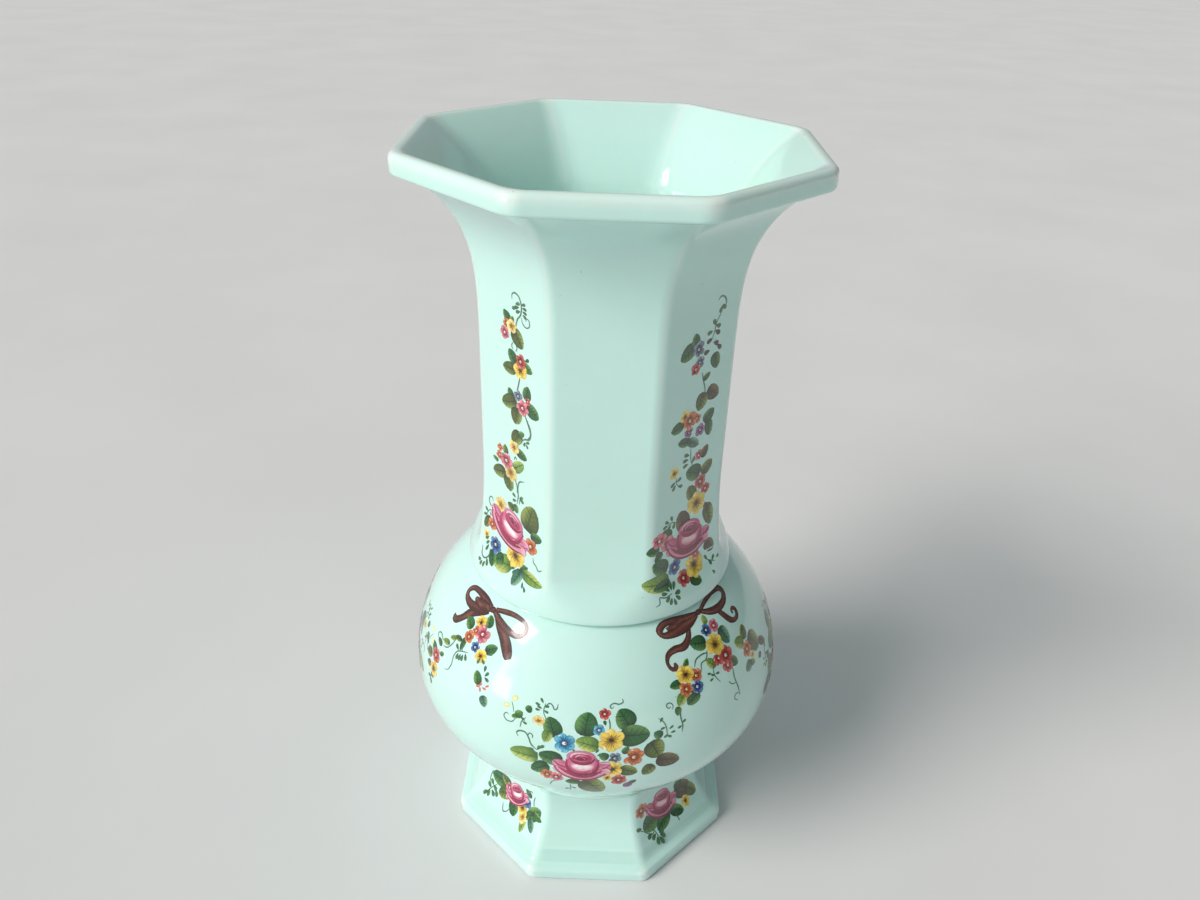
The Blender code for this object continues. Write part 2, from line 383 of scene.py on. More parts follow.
def inside_of(outline, wall):
    """The wall's inner line: each (half width, height) point of an upward outline moved in square to it."""
    line = np.array(outline)
    along = np.gradient(line, axis=0)
    along /= np.linalg.norm(along, axis=1)[:, None]
    return [tuple(p) for p in line + wall * np.stack([-along[:, 1], along[:, 0]], axis=1)]


def add_casting(name, stations, axis_heights=None):
    """One casting from (half width, height, corner radius, glaze depth) stations along its section. Its two
    ends close on the axis at the given heights, as a floor does, or else the section closes on itself."""
    table = np.array(stations)
    half, height, corner, pool = (table[:, i, None] for i in range(4))
    radius = octagon_radius(ANGLES[None, :], half, corner)
    points = np.stack([radius * np.cos(ANGLES), radius * np.sin(ANGLES), height + 0 * radius], axis=2)
    turn = np.abs((ANGLES + EIGHTH / 2) % EIGHTH - EIGHTH / 2) / (EIGHTH / 2)
    ridge = np.clip((turn - 0.85) / 0.15, 0, 1) * np.clip(1.2 - corner / half * 1.2, 0, 1)
    depth = np.clip(pool - 0.25 * ridge, 0, 1).ravel()
    count, sides = radius.shape
    rings = [list(range(i * sides, (i + 1) * sides)) for i in range(count)]
    pairs = list(zip(rings, rings[1:]))
    if axis_heights is None:
        pairs.append((rings[-1], rings[0]))
    steps = [(i, (i + 1) % sides) for i in range(sides)]
    faces = [(a[i], a[j], b[j], b[i]) for a, b in pairs for i, j in steps]
    points = points.reshape(-1, 3)
    if axis_heights is not None:
        points = np.vstack([points, [(0, 0, axis_heights[0]), (0, 0, axis_heights[1])]])
        depth = np.append(depth, [POOL["wall"], POOL["wall"]])
        faces += [(rings[0][j], rings[0][i], len(points) - 2) for i, j in steps]
        faces += [(rings[-1][i], rings[-1][j], len(points) - 1) for i, j in steps]
    return add_piece(name, points, faces, PORCELAIN, "glaze", depth[:, None])


def neck_casting():
    """The facetted neck, read up its outside, over the lip, down its bore and out over the bulb's lap."""
    lap_top = LAP_TOP + LUTE_GAP
    lap_radius = NECK_LAP_RADIUS + LUTE_GAP
    collar_edge = (COLLAR_RADIUS - COLLAR_EASE, COLLAR_HEIGHT + COLLAR_EASE)
    stations = circles([(lap_radius, COLLAR_HEIGHT)], "joint")
    stations += circles(arc(collar_edge, COLLAR_EASE, -90, 0, 5), "edge")
    outline = []
    straight = np.arange(COLLAR_HEIGHT + COLLAR_LEAD, FLARE_START, 1.3)
    trumpet = np.arange(FLARE_START, LIP_BAND_BOTTOM - LIP_FILLET, 1.0)
    for height in np.concatenate([straight, trumpet]):
        half, corner = neck_section(height)
        outline.append((float(half), float(height)))
        stations += octagons([(half, height)], corner, "wall")
    top = (float(neck_section(LIP_BAND_BOTTOM)[0]), LIP_BAND_BOTTOM)
    under_band = ease_between(outline[-1], top, (top[0] + LIP_REVEAL, LIP_BAND_BOTTOM), 6)[1:]
    stations += octagons(under_band, LIP_CORNER, "under_lip")
    lip_edges = arc((LIP_HALF - LIP_EDGE, LIP_BAND_BOTTOM + LIP_EDGE), LIP_EDGE, -90, 0, 5)
    lip_edges += arc((LIP_HALF - LIP_ROUNDING, HEIGHT - LIP_ROUNDING), LIP_ROUNDING, 0, 90, 7)
    inside = (LIP_HALF - LIP_THICKNESS + LIP_INSIDE_ROUNDING, HEIGHT - LIP_INSIDE_ROUNDING)
    lip_edges += arc(inside, LIP_INSIDE_ROUNDING, 92, 90 + LIP_SLOPE, 5)
    for point in lip_edges:
        stations += octagons([point], LIP_CORNER, "edge" if point[1] < HEIGHT - LIP_ROUNDING else "rim")
    lowest = lap_top + 3 * NECK_LAP_LEAD
    bore = [point for point in inside_of(outline, WALL) if lowest < point[1] < FUNNEL_BOTTOM]
    rim = lip_edges[-1]
    bend = (rim[0] - FUNNEL_REACH, rim[1] - FUNNEL_REACH * math.tan(math.radians(LIP_SLOPE)))
    funnel = ease_between(rim, bend, bore[-1], 26)[1:]
    for run, point in zip(np.linspace(0, 1, len(funnel)), funnel):
        stations += octagons([point], LIP_CORNER + (BORE_CORNER - LIP_CORNER) * run, "wall")
    stations += octagons(reversed(bore[:-1]), BORE_CORNER, "inside")
    lap = [(MOUTH_RADIUS, lap_top + NECK_LAP_LEAD), (MOUTH_RADIUS, lap_top), (lap_radius, lap_top)]
    stations += circles(lap, "lap")
    return add_casting("neck_casting", stations)


def bulb_casting():
    """The round body, read from the underside's middle over the bead, up its outside and down into it."""
    seat = COLLAR_HEIGHT - LUTE_GAP
    mouth_bottom = seat - MOUTH_DEPTH
    lap_inside = FOOT_LAP_RADIUS - FOOT_LAP_WALL
    stations = circles([(lap_inside, BEAD_HEIGHT), (lap_inside, LAP_BOTTOM)])
    stations += circles([(FOOT_LAP_RADIUS, LAP_BOTTOM), (FOOT_LAP_RADIUS, BEAD_HEIGHT)])
    bead = (BEAD_RADIUS - BEAD_ROUND, BEAD_HEIGHT + BEAD_ROUND)
    stations += circles(arc(bead, BEAD_ROUND, -90, 70, 12), "bead")
    outline = []
    for down in np.linspace(BULB_LENGTH, 0, 110):
        radius, height = bulb_section(down)
        outline.append((float(radius), float(height)))
        stations += circles(outline[-1:], "wall" if 1 <= down <= BULB_LENGTH - 1 else "seam")
    stations += circles([(NECK_LAP_RADIUS, seat), (NECK_LAP_RADIUS, LAP_TOP)])
    stations += circles([(MOUTH_RADIUS, LAP_TOP), (MOUTH_RADIUS, mouth_bottom)])
    floor = BEAD_HEIGHT + FLOOR_THICKNESS
    hollow = inside_of(outline, WALL)
    hollow = [p for p in hollow if floor + FLOOR_EASE < p[1] < mouth_bottom - FLOOR_EASE / 2]
    stations += circles(reversed(hollow), "inside")
    edge = hollow[0]
    corner, flat = (edge[0] - FLOOR_EASE, floor), (edge[0] - 2.5 * FLOOR_EASE, floor)
    stations += circles(ease_between(edge, corner, flat, 6)[1:], "floor")
    return add_casting("bulb_casting", stations, (BEAD_HEIGHT, floor))


def foot_casting():
    """The spreading foot above its bare ring, read up its outside and down the hollow inside."""
    base = (FOOT_HALF - RING_EASE, BARE_DEPTH + RING_EASE)
    band = (FOOT_HALF - BAND_ROUNDING, BAND_HEIGHT - BAND_ROUNDING)
    outside = [(FOOT_HALF - RING_EASE, BARE_DEPTH)] + arc(base, RING_EASE, -60, 0, 4)
    outside += arc(band, BAND_ROUNDING, 0, 70, 7)
    stations = octagons(outside, FOOT_CORNER, "base")
    cove_start = (FOOT_HALF - COVE_INSET, BAND_HEIGHT)
    cove_bend = (FOOT_HALF - COVE_DEPTH, BAND_HEIGHT + COVE_RISE)
    cove_end = (float(foot_section(COVE_TOP)[0]), COVE_TOP)
    for point in ease_between(cove_start, cove_bend, cove_end, 9):
        stations += octagons([point], FOOT_CORNER, "wall" if point[1] < BAND_HEIGHT + 0.8 else "cove")
    for height in np.linspace(COVE_TOP + 0.3, FOOT_TOP, 28):
        half, corner = foot_section(height)
        # Most of the foot's face takes the "foot" depth. Its deeper tint is partly painted shade that
        # darkens the foot.
        place = "wall" if height < COVE_TOP + 0.6 else "foot" if height < FOOT_TOP - 1.5 else "joint"
        stations += octagons([(half, height)], corner, place)
    lap_radius, lap_bottom = FOOT_LAP_RADIUS + LUTE_GAP, LAP_BOTTOM - LUTE_GAP
    stations += circles([(lap_radius, FOOT_TOP), (lap_radius, lap_bottom)])
    for height in np.linspace(lap_bottom - FOOT_LAP_WALL, BAND_HEIGHT, 16):
        half, corner = foot_section(height)
        stations += octagons([(half - WALL, height)], corner, "edge")
    ring_inside = FOOT_HALF - RING_EASE - RING_WIDTH
    stations += octagons([(ring_inside - RING_EASE, RING_EASE + BARE_DEPTH)], FOOT_CORNER, "edge")
    stations += octagons([(ring_inside, BARE_DEPTH)], FOOT_CORNER, "base")
    return add_casting("foot_casting", stations)


def bare_ring():
    """The ring the vase stands on, wiped clean of glaze."""
    outer = FOOT_HALF - RING_EASE
    inner = outer - RING_WIDTH
    section = [(outer, BARE_DEPTH), (outer - 0.1, 0.1), (outer - 0.3, 0.0)]
    section += [(inner + 0.3, 0.0), (inner + 0.1, 0.1), (inner, BARE_DEPTH)]
    ring = add_casting("foot_ring_bare", octagons(section, FOOT_CORNER, "wall"))
    ring.data.materials[0] = BARE


def glaze_seam(name, radius, height, corner):
    """Glaze that has run into the joint between two castings and closed it with a soft hollow line."""
    low, high = height - LUTE_GAP - 0.1, height + 0.1
    back = radius - 2.5
    section = [(radius, low), (radius - 0.25, (low + high) / 2), (radius, high), (back, high), (back, low)]
    add_casting(name, octagons(section, corner, "seam") if corner else circles(section, "seam"))


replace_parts(neck_casting(), "neck")
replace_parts(bulb_casting(), "bulb")
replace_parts(foot_casting(), "foot")
bare_ring()
glaze_seam("collar_glaze_seam", COLLAR_RADIUS - 0.6, COLLAR_HEIGHT, None)
glaze_seam("foot_glaze_seam", WAIST_HALF - 0.1, BEAD_HEIGHT, FOOT_CORNER)


# ---------------------------------------------------------------- what the enamel is painted on
# A film's top stands this far above the glaze, and a step more for each mark that it crosses. Its underside
# is sunk into the glaze.
FILM = 0.02
COAT_STEP = 0.004
SUNK = -0.03
PROBE = 0.05


class Canvas:
    """A part of the vase's outside with its own flat coordinates: across, to the right of a middle line,
    and along, which is the height on the facetted parts and the distance below the collar on the bulb."""

    def __init__(self, section, turn):
        self.section = section
        self.turn = math.radians(turn - 90)
        self.down = section is bulb_section

    def surface(self, across, along):
        if self.down:
            radius, height = self.section(along)
            angle = across / radius
        else:
            half, corner = self.section(along)
            angle = np.arctan2(across, half)
            radius, height = octagon_radius(angle, half, corner), along
        angle = angle + self.turn
        return np.stack([radius * np.cos(angle), radius * np.sin(angle), height + 0 * radius], axis=-1)

    def points(self, across, along, lift):
        """Points so far above the glaze, square to it. Two short probes give the direction."""
        here = self.surface(across, along)
        rightward = self.surface(across + PROBE, along) - here
        normal = np.cross(rightward, self.surface(across, along + PROBE) - here)
        normal /= np.linalg.norm(normal, axis=-1)[..., None]
        if self.down:
            normal = -normal
        return here + lift * normal


# ---------------------------------------------------------------- colours of the enamels
def tones(*colours):
    return [np.array(linear(*colour)) for colour in colours]


# Each leaf's shade, body and light side
LEAF_COLOURS = {
    "dark": ((22, 64, 36), (46, 104, 56), (104, 152, 82)),
    "green": ((30, 74, 36), (62, 118, 56), (132, 172, 84)),
    "olive": ((48, 62, 26), (86, 108, 46), (150, 168, 82)),
    "light": ((62, 108, 48), (124, 162, 70), (206, 216, 124)),
    "blue": ((34, 80, 66), (78, 130, 104), (150, 194, 164)),
    "brown": ((46, 40, 24), (84, 76, 42), (128, 118, 70)),
    "leaflet": ((50, 96, 62), (84, 130, 86)),
}
# Each flower's enamel, its petals' deep, body and pale colours, its ink and its heart
FLOWER_COLOURS = {
    "yellow": ("yellows", (222, 172, 44), (242, 216, 78), (253, 240, 146), (70, 46, 18), (62, 38, 18)),
    "cream": ("yellows", (216, 178, 84), (242, 222, 128), (250, 242, 186), (150, 96, 40), (140, 96, 40)),
    "blue": ("blues", (22, 90, 150), (58, 166, 202), (146, 218, 230), (16, 52, 112), (242, 246, 244)),
    "navy": ("blues", (18, 40, 98), (44, 92, 160), (120, 172, 212), (12, 24, 66), (226, 234, 240)),
    "grey": ("blues", (52, 66, 92), (104, 128, 152), (172, 190, 200), (40, 48, 70), (206, 212, 214)),
    "red": ("reds", (140, 34, 38), (190, 66, 62), (230, 140, 124), (100, 20, 26), (248, 222, 206)),
    "orange": ("reds", (158, 66, 34), (204, 108, 60), (236, 170, 112), (100, 38, 22), (248, 218, 172)),
    "pink": ("roses", (162, 52, 78), (210, 106, 124), (240, 184, 188), (112, 28, 50), (250, 236, 220)),
    "violet": ("roses", (92, 44, 104), (142, 92, 150), (196, 160, 196), (60, 24, 70), (226, 206, 222)),
}
# Each rose's dark, deep, body, pale and white
ROSE_COLOURS = {
    "pink": ((126, 22, 60), (172, 54, 98), (204, 104, 140), (230, 172, 192), (250, 234, 238)),
    "magenta": ((104, 18, 50), (158, 40, 84), (192, 76, 116), (222, 146, 172), (244, 206, 214)),
}
LEAF_TONES = {kind: tones(*colours) for kind, colours in LEAF_COLOURS.items()}
ROSE_TONES = {kind: tones(*colours) for kind, colours in ROSE_COLOURS.items()}
FLOWER_TONES = {kind: (colours[0], *tones(*colours[1:])) for kind, colours in FLOWER_COLOURS.items()}
RIBBON_TONES = tones((60, 30, 28), (104, 58, 48), (152, 102, 84))
LINE_TONES = tones((74, 112, 88), (92, 130, 104))
TEAL_TONES = tones((50, 110, 116), (90, 150, 150))
FAINT_TONES = tones((238, 238, 186), (214, 224, 152))


def mix(first, second, share):
    return first + (second - first) * share[..., None]


def eased(value, low, high):
    run = np.clip((value - low) / (high - low), 0, 1)
    return run * run * (3 - 2 * run)


def smooth_line(knots, gap):
    """Points about `gap` apart on a curve through the knots, their extra values carried along."""
    knots = [np.array(knot, float) for knot in knots]
    ends = [2 * knots[0] - knots[1]] + knots + [2 * knots[-1] - knots[-2]]
    line = []
    for before, start, end, after in zip(ends, ends[1:], ends[2:], ends[3:]):
        count = max(2, math.ceil(np.linalg.norm(end[:2] - start[:2]) / gap))
        square = 2 * before - 5 * start + 4 * end - after
        cube = 3 * (start - end) + after - before
        for run in np.arange(count) / count:
            line.append(0.5 * (2 * start + (end - before) * run + (square * run**2 + cube * run**3)))
    return np.array(line + [knots[-1]])


class Painting:
    """One hand-painted motif on one canvas. Its marks are gathered by enamel family, a piece for each."""

    def __init__(self, name, canvas, seed, stretch, swaps):
        self.name = name
        self.canvas = canvas
        self.random = np.random.RandomState(seed)
        self.stretch = stretch
        self.swaps = swaps or {}
        self.leaf_growth = 1.0
        self.marks = []
        self.films = {}

    def film(self, family, across, along, colour):
        """One brush mark: a grid of canvas points with a colour each, closed under the glaze's face."""
        across = across * self.stretch
        left, right, low, high = across.min(), across.max(), along.min(), along.max()
        below = [
            coat for its_left, its_right, its_low, its_high, coat in self.marks
            if its_left < right and its_right > left and its_low < high and its_high > low
        ]
        coat = 1 + max(below, default=0)
        self.marks.append((left, right, low, high, coat))
        top = self.canvas.points(across, along, FILM + COAT_STEP * coat)
        base = self.canvas.points(across, along, SUNK)
        rows, columns = across.shape
        points, faces, colours = self.films.setdefault(family, ([], [], []))
        start = sum(len(block) for block in points)
        grid = np.arange(rows * columns).reshape(rows, columns) + start
        under = grid + rows * columns
        turned = (self.stretch < 0) != self.canvas.down

        def quads(a, b, c, d):
            corners = np.stack([a, d, c, b] if turned else [a, b, c, d], axis=-1)
            faces.extend(corners.reshape(-1, 4).tolist())

        quads(grid[:-1, :-1], grid[:-1, 1:], grid[1:, 1:], grid[1:, :-1])
        quads(under[:-1, :-1], under[1:, :-1], under[1:, 1:], under[:-1, 1:])
        rim = np.concatenate([grid[0, :], grid[1:, -1], grid[-1, -2::-1], grid[-2:0:-1, 0]])
        after = np.roll(rim, -1)
        low_rim, low_after = rim + rows * columns, after + rows * columns
        quads(rim, low_rim, low_after, after)
        points += [top.reshape(-1, 3), base.reshape(-1, 3)]
        block = np.clip(colour, 0, 1).reshape(-1, 3)
        colours += [block, block]

    def upright(self, across, upward):
        """Offsets drawn with up as up, turned into canvas offsets."""
        return across, (-upward if self.canvas.down else upward)

    def grain(self, streaks, flecks, rows, columns):
        """How light each point of a mark is: streaks along the brush's way, and flecks all over."""
        streak = streaks * self.random.normal(size=(1, columns))
        return 1 + streak + flecks * self.random.normal(size=(rows, columns))

    def blade(self, family, x, y, length, width, turn, shape, paint):
        """A mark with a base and a tip, centred on (x, y) and pointing `turn` degrees up from the right.
        The shape is the two powers of its outline. paint(t, v, grain) colours it along t and across v."""
        turn = math.radians(turn)
        rows = max(6, min(14, math.ceil(length / 0.7)))
        columns = max(4, min(12, math.ceil(width / 0.6))) + 1
        run = np.linspace(0.015, 0.985, rows + 1)[:, None]
        side = np.linspace(-1, 1, columns)[None, :]
        start, end = shape
        peak = (start / (start + end)) ** start * (end / (start + end)) ** end
        wide = width / 2 * run**start * (1 - run) ** end / peak
        forward, sideways = (run - 0.5) * length + 0 * side, wide * side
        grain = self.grain(0.09, 0.03, rows + 1, columns)
        across = forward * math.cos(turn) - sideways * math.sin(turn)
        upward = forward * math.sin(turn) + sideways * math.cos(turn)
        across, upward = self.upright(across, upward)
        self.film(family, x + across, y + upward, paint(run + 0 * side, side + 0 * run, grain[..., None]))

    def leaves(self, *rows):
        for row in rows:
            self.leaf(*row)

    def flowers(self, *rows):
        for row in rows:
            self.flower(*row)

    def leaf(self, x, y, length, width, turn, tone="green"):
        """Dark along one side and light along the other, with a midrib and side veins if it is large."""
        shade, body, light = LEAF_TONES[tone]
        length, width = 1.08 * self.leaf_growth * length, 1.1 * self.leaf_growth * width

        def paint(t, v, grain):
            colour = mix(shade, body, eased(t, 0.0, 0.55))
            colour = mix(colour, light, 0.75 * eased(v, 0.05, 0.9) * eased(t, 0.02, 0.4))
            colour = mix(colour, shade, 0.6 * eased(-v, 0.45, 1.0))
            return colour * grain

        self.blade("leaves", x, y, length, width, turn, (0.42, 0.62), paint)
        if length < 3.6:
            return
        heading = math.radians(turn)
        ahead = np.array([math.cos(heading), math.sin(heading)])
        aside = np.array([-ahead[1], ahead[0]])

        def on_leaf(t, v):
            shift = ahead * (t - 0.5) * length + aside * v * width / 2
            return (x + shift[0], y + (-shift[1] if self.canvas.down else shift[1]))

        rib = 0.22 if length < 6 else 0.3
        midrib = [on_leaf(0.0, 0.0), on_leaf(0.4, 0.05), on_leaf(0.93, -0.02)]
        self.stroke(midrib, rib, "leaves", (shade * 0.6, shade))
        for place in ((0.3, 0.55) if length < 5.5 else (0.22, 0.42, 0.62)):
            for side in (-1, 1):
                middle, end = on_leaf(place + 0.12, side * 0.38), on_leaf(place + 0.2, side * 0.72)
                self.stroke([on_leaf(place, 0.0), middle, end], 0.2, "leaves", (shade * 0.8, body * 0.8))

    def dab(self, x, y, length, width, turn, family="lines", colours=LINE_TONES):
        """A single touch of the brush, pointed where it starts and round where it ends."""
        first, last = colours[:2]

        def paint(t, v, grain):
            return mix(first, last, t) * grain

        self.blade(family, x, y, length, width, turn, (0.9, 0.45), paint)

    def spot(self, x, y, width, height, family, colours, turn=0):
        """A filled oval, its colours running from the rim to the middle."""
        inner, outer = colours

        def paint(t, v, grain):
            reach = np.sqrt(np.clip((2 * t - 1) ** 2 + v**2 * 4 * t * (1 - t), 0, 1))
            return mix(inner, outer, eased(reach, 0.2, 0.95)) * (0.5 + 0.5 * grain)

        self.blade(family, x, y, width, height, turn, (0.5, 0.5), paint)

    def stroke(self, knots, width, family="lines", colours=LINE_TONES, taper=True, edge=None, gap=0.55):
        """A line through (x, y) or (x, y, width) knots. With an edge colour it is shaded like a ribbon."""
        line = smooth_line(knots, gap)
        along = np.gradient(line[:, :2], axis=0)
        along /= np.maximum(np.linalg.norm(along, axis=1), 1e-6)[:, None]
        square = np.stack([-along[:, 1], along[:, 0]], axis=1)
        run = np.linspace(0, 1, len(line))
        wide = line[:, 2] if line.shape[1] > 2 else np.full(len(line), width)
        if taper:
            wide = wide * (0.35 + 0.65 * np.clip(4.5 * np.minimum(run, 1 - run) + 0.1, 0, 1))
        columns = 7 if edge is not None else 3
        side = np.linspace(-1, 1, columns)
        across = line[:, 0, None] + square[:, 0, None] * side * wide[:, None] / 2
        up = line[:, 1, None] + square[:, 1, None] * side * wide[:, None] / 2
        colour = mix(colours[0], colours[-1], run[:, None] + 0 * side)
        grain = self.grain(0.10, 0.05, len(line), columns)
        if edge is not None:
            sheen = eased(1 - np.abs(side[None, :] - 0.25 * np.sin(9 * run[:, None])), 0.45, 1.0)
            gleam = 0.45 * sheen * (0.5 + 0.5 * np.sin(14 * run + 1)[:, None])
            border = eased(np.abs(side)[None, :] + 0 * run[:, None], 0.7, 1.0)
            colour = mix(colours[0] + 0 * colour, colours[1], 0.35 + 0.65 * sheen)
            colour = mix(colour, colours[2] + 0 * colour, gleam)
            colour = mix(colour, edge + 0 * colour, border)
        self.film(family, across, up, colour * grain[..., None])

    def curl(self, x, y, radius, start, sweep, width=0.38):
        """A spiral winding in round (x, y) from the angle `start` through `sweep` degrees."""
        knots = []
        for run in np.linspace(0, 1, max(5, int(abs(sweep) / 40))):
            angle = math.radians(start + sweep * run)
            reach = radius * (1 - 0.72 * run)
            across, upward = self.upright(reach * math.cos(angle), reach * math.sin(angle))
            knots.append((x + across, y + upward))
        self.stroke(knots, width)

    def leaflets(self, places, length=1.6, width=0.75, tone="leaflet"):
        """Small pointed leaves at (x, y, turn) places."""
        for x, y, turn in places:
            self.dab(x, y, 1.1 * length, 1.15 * width, turn, "leaves", LEAF_TONES[tone])

    def sprig(self, knots, places, length=1.6, width=0.75):
        """A thin stem with leaflets along it."""
        self.stroke(knots, 0.36)
        self.leaflets(places, length, width)

    def flower(self, x, y, size, kind, turn=90, petals=5, flat=1.0):
        """A ring of uneven petals about a centre, with fine strokes running out over each petal."""
        kind = self.swaps.get(kind, kind)
        family, deep, body, pale, ink, heart = FLOWER_TONES[kind]

        def at(reach, heading):
            across, upward = self.upright(reach * math.cos(heading), flat * reach * math.sin(heading))
            return x + across, y + upward

        def paint(t, v, grain):
            colour = mix(body, pale, eased(t, 0.3, 0.95) * (0.5 + 0.5 * v))
            colour = mix(colour, deep, 0.7 * eased(np.abs(v + 0.1), 0.6, 1.0))
            return mix(colour, deep, 0.8 * eased(1 - t, 0.5, 0.95)) * grain * light

        for petal in range(petals):
            heading = turn + 360 * petal / petals + self.random.normal(0, 7)
            reach = size * 0.26 * self.random.uniform(0.85, 1.1)
            light = self.random.uniform(0.8, 1.06)
            breadth = size * (0.47 if petals < 6 else 0.4) * self.random.uniform(0.85, 1.12)
            place = at(reach, math.radians(heading))
            self.blade(family, *place, size * 0.50, breadth, heading, (0.5, 0.38), paint)
        for petal in range(petals):
            heading = math.radians(turn + 360 * petal / petals)
            tip = self.random.uniform(0.26, 0.42)
            for slant in (-0.34, 0.0, 0.32):
                start, end = 0.08 * size, size * tip * (1 if slant == 0 else 0.8)
                knots = [at(reach, heading + slant) for reach in (start, (start + end) / 2, end)]
                self.stroke(knots, size * 0.03 + 0.06, family, (ink, deep * 0.7), gap=0.8)
        self.spot(x, y, size * 0.17 + 0.2, size * 0.15 + 0.15, family, (heart, heart * 0.9))
        if kind not in ("yellow", "cream"):
            self.spot(x + 0.05 * size, y, size * 0.06 + 0.08, size * 0.06 + 0.08, family, (ink, ink))
        for petal in (0, 2):
            heading = turn + 360 * petal / petals
            gleam = at(0.4 * size, math.radians(heading + 20))
            gleam_tones = (pale, 0.5 * (pale + 1))
            self.dab(*gleam, size * 0.2, size * 0.07 + 0.05, heading + 100, family, gleam_tones)

    def rose(self, x, y, size, turn=0, kind="pink"):
        """A cabbage rose: loose outer petals, a round cup with a pale band, and a dark folded heart."""
        dark, deep, body, pale, white = ROSE_TONES[self.swaps.get(kind, kind)]
        unit = size / 12
        lean = math.radians(turn)

        def at(right, above):
            across = right * math.cos(lean) - above * math.sin(lean)
            upward = right * math.sin(lean) + above * math.cos(lean)
            across, upward = self.upright(across * unit, upward * unit)
            return x + across, y + upward

        def petal(right, above, length, width, heading, first, last):
            def paint(t, v, grain):
                colour = mix(first, last, eased(t, 0.15, 0.85))
                colour = mix(colour, white, 0.45 * eased(v, 0.3, 0.75) * eased(1 - v, 0.02, 0.3))
                return mix(colour, deep, 0.8 * eased(np.abs(v), 0.82, 1.0)) * grain

            place = at(right, above)
            self.blade("roses", *place, length * unit, width * unit, heading + turn, (0.6, 0.4), paint)

        def fold(knots, first, last):
            knots = [(*at(right, above), width * unit) for right, above, width in knots]
            self.stroke(knots, 1, "roses", (first, last), taper=False)

        lilac = 0.5 * (pale + body) * np.array([0.92, 1.0, 1.12])
        petal(-8.2, -0.6, 5.6, 3.4, 186, body, lilac)
        petal(-7.4, -3.0, 6.6, 3.4, 200, body, pale)
        petal(7.8, -0.2, 5.0, 3.4, -4, body, lilac)
        petal(7.2, -2.8, 6.4, 3.4, -18, body, pale)
        fold([(-9.4, -3.4, 0.6), (-6.0, -5.6, 1.6), (-1.6, -6.9, 2.0), (3.4, -6.4, 1.8), (8.2, -4.0, 0.6)],
             pale, lilac)
        fold([(-8.6, -2.4, 0.4), (-5.6, -4.4, 1.2), (-1.4, -5.9, 1.6), (3.2, -5.4, 1.3), (7.2, -2.9, 0.4)],
             deep, dark)
        fold([(-10.6, -1.6, 0.3), (-8.6, -4.6, 0.7), (-5.0, -6.9, 0.8), (-1.0, -7.7, 0.8), (3.8, -7.1, 0.7),
              (8.8, -4.4, 0.3)], deep, dark)
        fold([(-10.4, 0.2, 0.2), (-8.4, -1.6, 0.5), (-6.2, -2.2, 0.3)], deep, deep)
        fold([(10.0, 0.2, 0.2), (8.4, -1.4, 0.5), (6.2, -2.0, 0.3)], deep, deep)

        def cup(t, v, grain):
            right, above = 2 * t - 1, v * 2 * np.sqrt(t * (1 - t))
            reach = np.sqrt(np.clip(right**2 + above**2, 0, 1))
            colour = mix(pale, body, eased(reach, 0.3, 0.85))
            colour = mix(colour, deep, eased(reach, 0.82, 1.0))
            band = np.clip(1 - (right / 0.7) ** 2 - ((above + 0.2) / 0.32) ** 2, 0, 1)
            colour = mix(colour, white, 0.95 * eased(band, 0.0, 0.6))
            return mix(colour, deep, 0.55 * eased(-above, 0.55, 0.98)) * grain

        self.blade("roses", *at(0, -0.1), 12 * unit, 11.2 * unit, turn, (0.5, 0.5), cup)
        fold([(-5.7, 1.6, 0.4), (-5.5, -1.6, 1.2), (-3.7, -4.1, 1.7), (-0.4, -5.1, 1.7), (3.0, -4.3, 0.8)],
             deep, dark)
        fold([(5.7, 2.2, 0.4), (5.4, -1.4, 1.2), (4.0, -3.7, 1.2), (2.0, -4.9, 0.5)], deep, dark)
        fold([(-4.6, 0.8, 0.3), (-4.2, -1.8, 0.7), (-2.1, -3.6, 1.0), (1.0, -3.7, 0.9), (3.2, -2.6, 0.3)],
             body, deep)
        fold([(4.7, 1.6, 0.3), (4.6, -0.8, 0.5), (3.6, -2.8, 0.4)], body, deep)
        fold([(-5.3, 1.6, 0.4), (-5.0, 3.6, 1.2), (-2.6, 5.0, 1.3), (0.6, 5.2, 1.2), (3.4, 4.3, 1.1),
              (5.0, 2.2, 0.4)], lilac, body)
        fold([(-4.4, 2.6, 0.3), (-3.4, 4.2, 0.6), (-0.8, 4.9, 0.6), (1.8, 4.6, 0.4)], white, pale)
        self.spot(*at(-0.1, 2.6), 7.2 * unit, 4.0 * unit, "roses", (dark * 0.8, deep), turn)
        fold([(-2.6, 3.0, 0.3), (-1.2, 3.9, 0.7), (0.8, 3.8, 0.7), (2.2, 3.0, 0.3)], pale, deep)
        fold([(-1.4, 2.8, 0.3), (-0.2, 3.1, 0.5), (0.9, 2.6, 0.4), (0.5, 2.0, 0.2)], deep, body)
        fold([(-3.0, 1.9, 0.3), (-1.2, 1.3, 0.6), (1.0, 1.4, 0.6), (2.9, 2.2, 0.3)], body, deep)
        fold([(-4.4, 2.7, 0.4), (-3.2, 0.9, 1.0), (-0.2, 0.2, 1.2), (2.8, 0.8, 1.0), (4.4, 2.7, 0.4)],
             deep, dark)

    def ribbon(self, *knots):
        """A ribbon through (x, y, width) knots, dark along both edges."""
        self.stroke(knots, 1, "ribbons", RIBBON_TONES, taper=False, edge=RIBBON_TONES[0] * 0.7, gap=0.7)

    def finish(self):
        """Turns the gathered marks into pieces."""
        for family, (points, faces, colours) in self.films.items():
            name, slot, colours = f"{self.name}_{family}", ENAMELS[family][0], np.concatenate(colours)
            add_piece(name, np.concatenate(points), faces, PAINTS[family], "paint", colours)
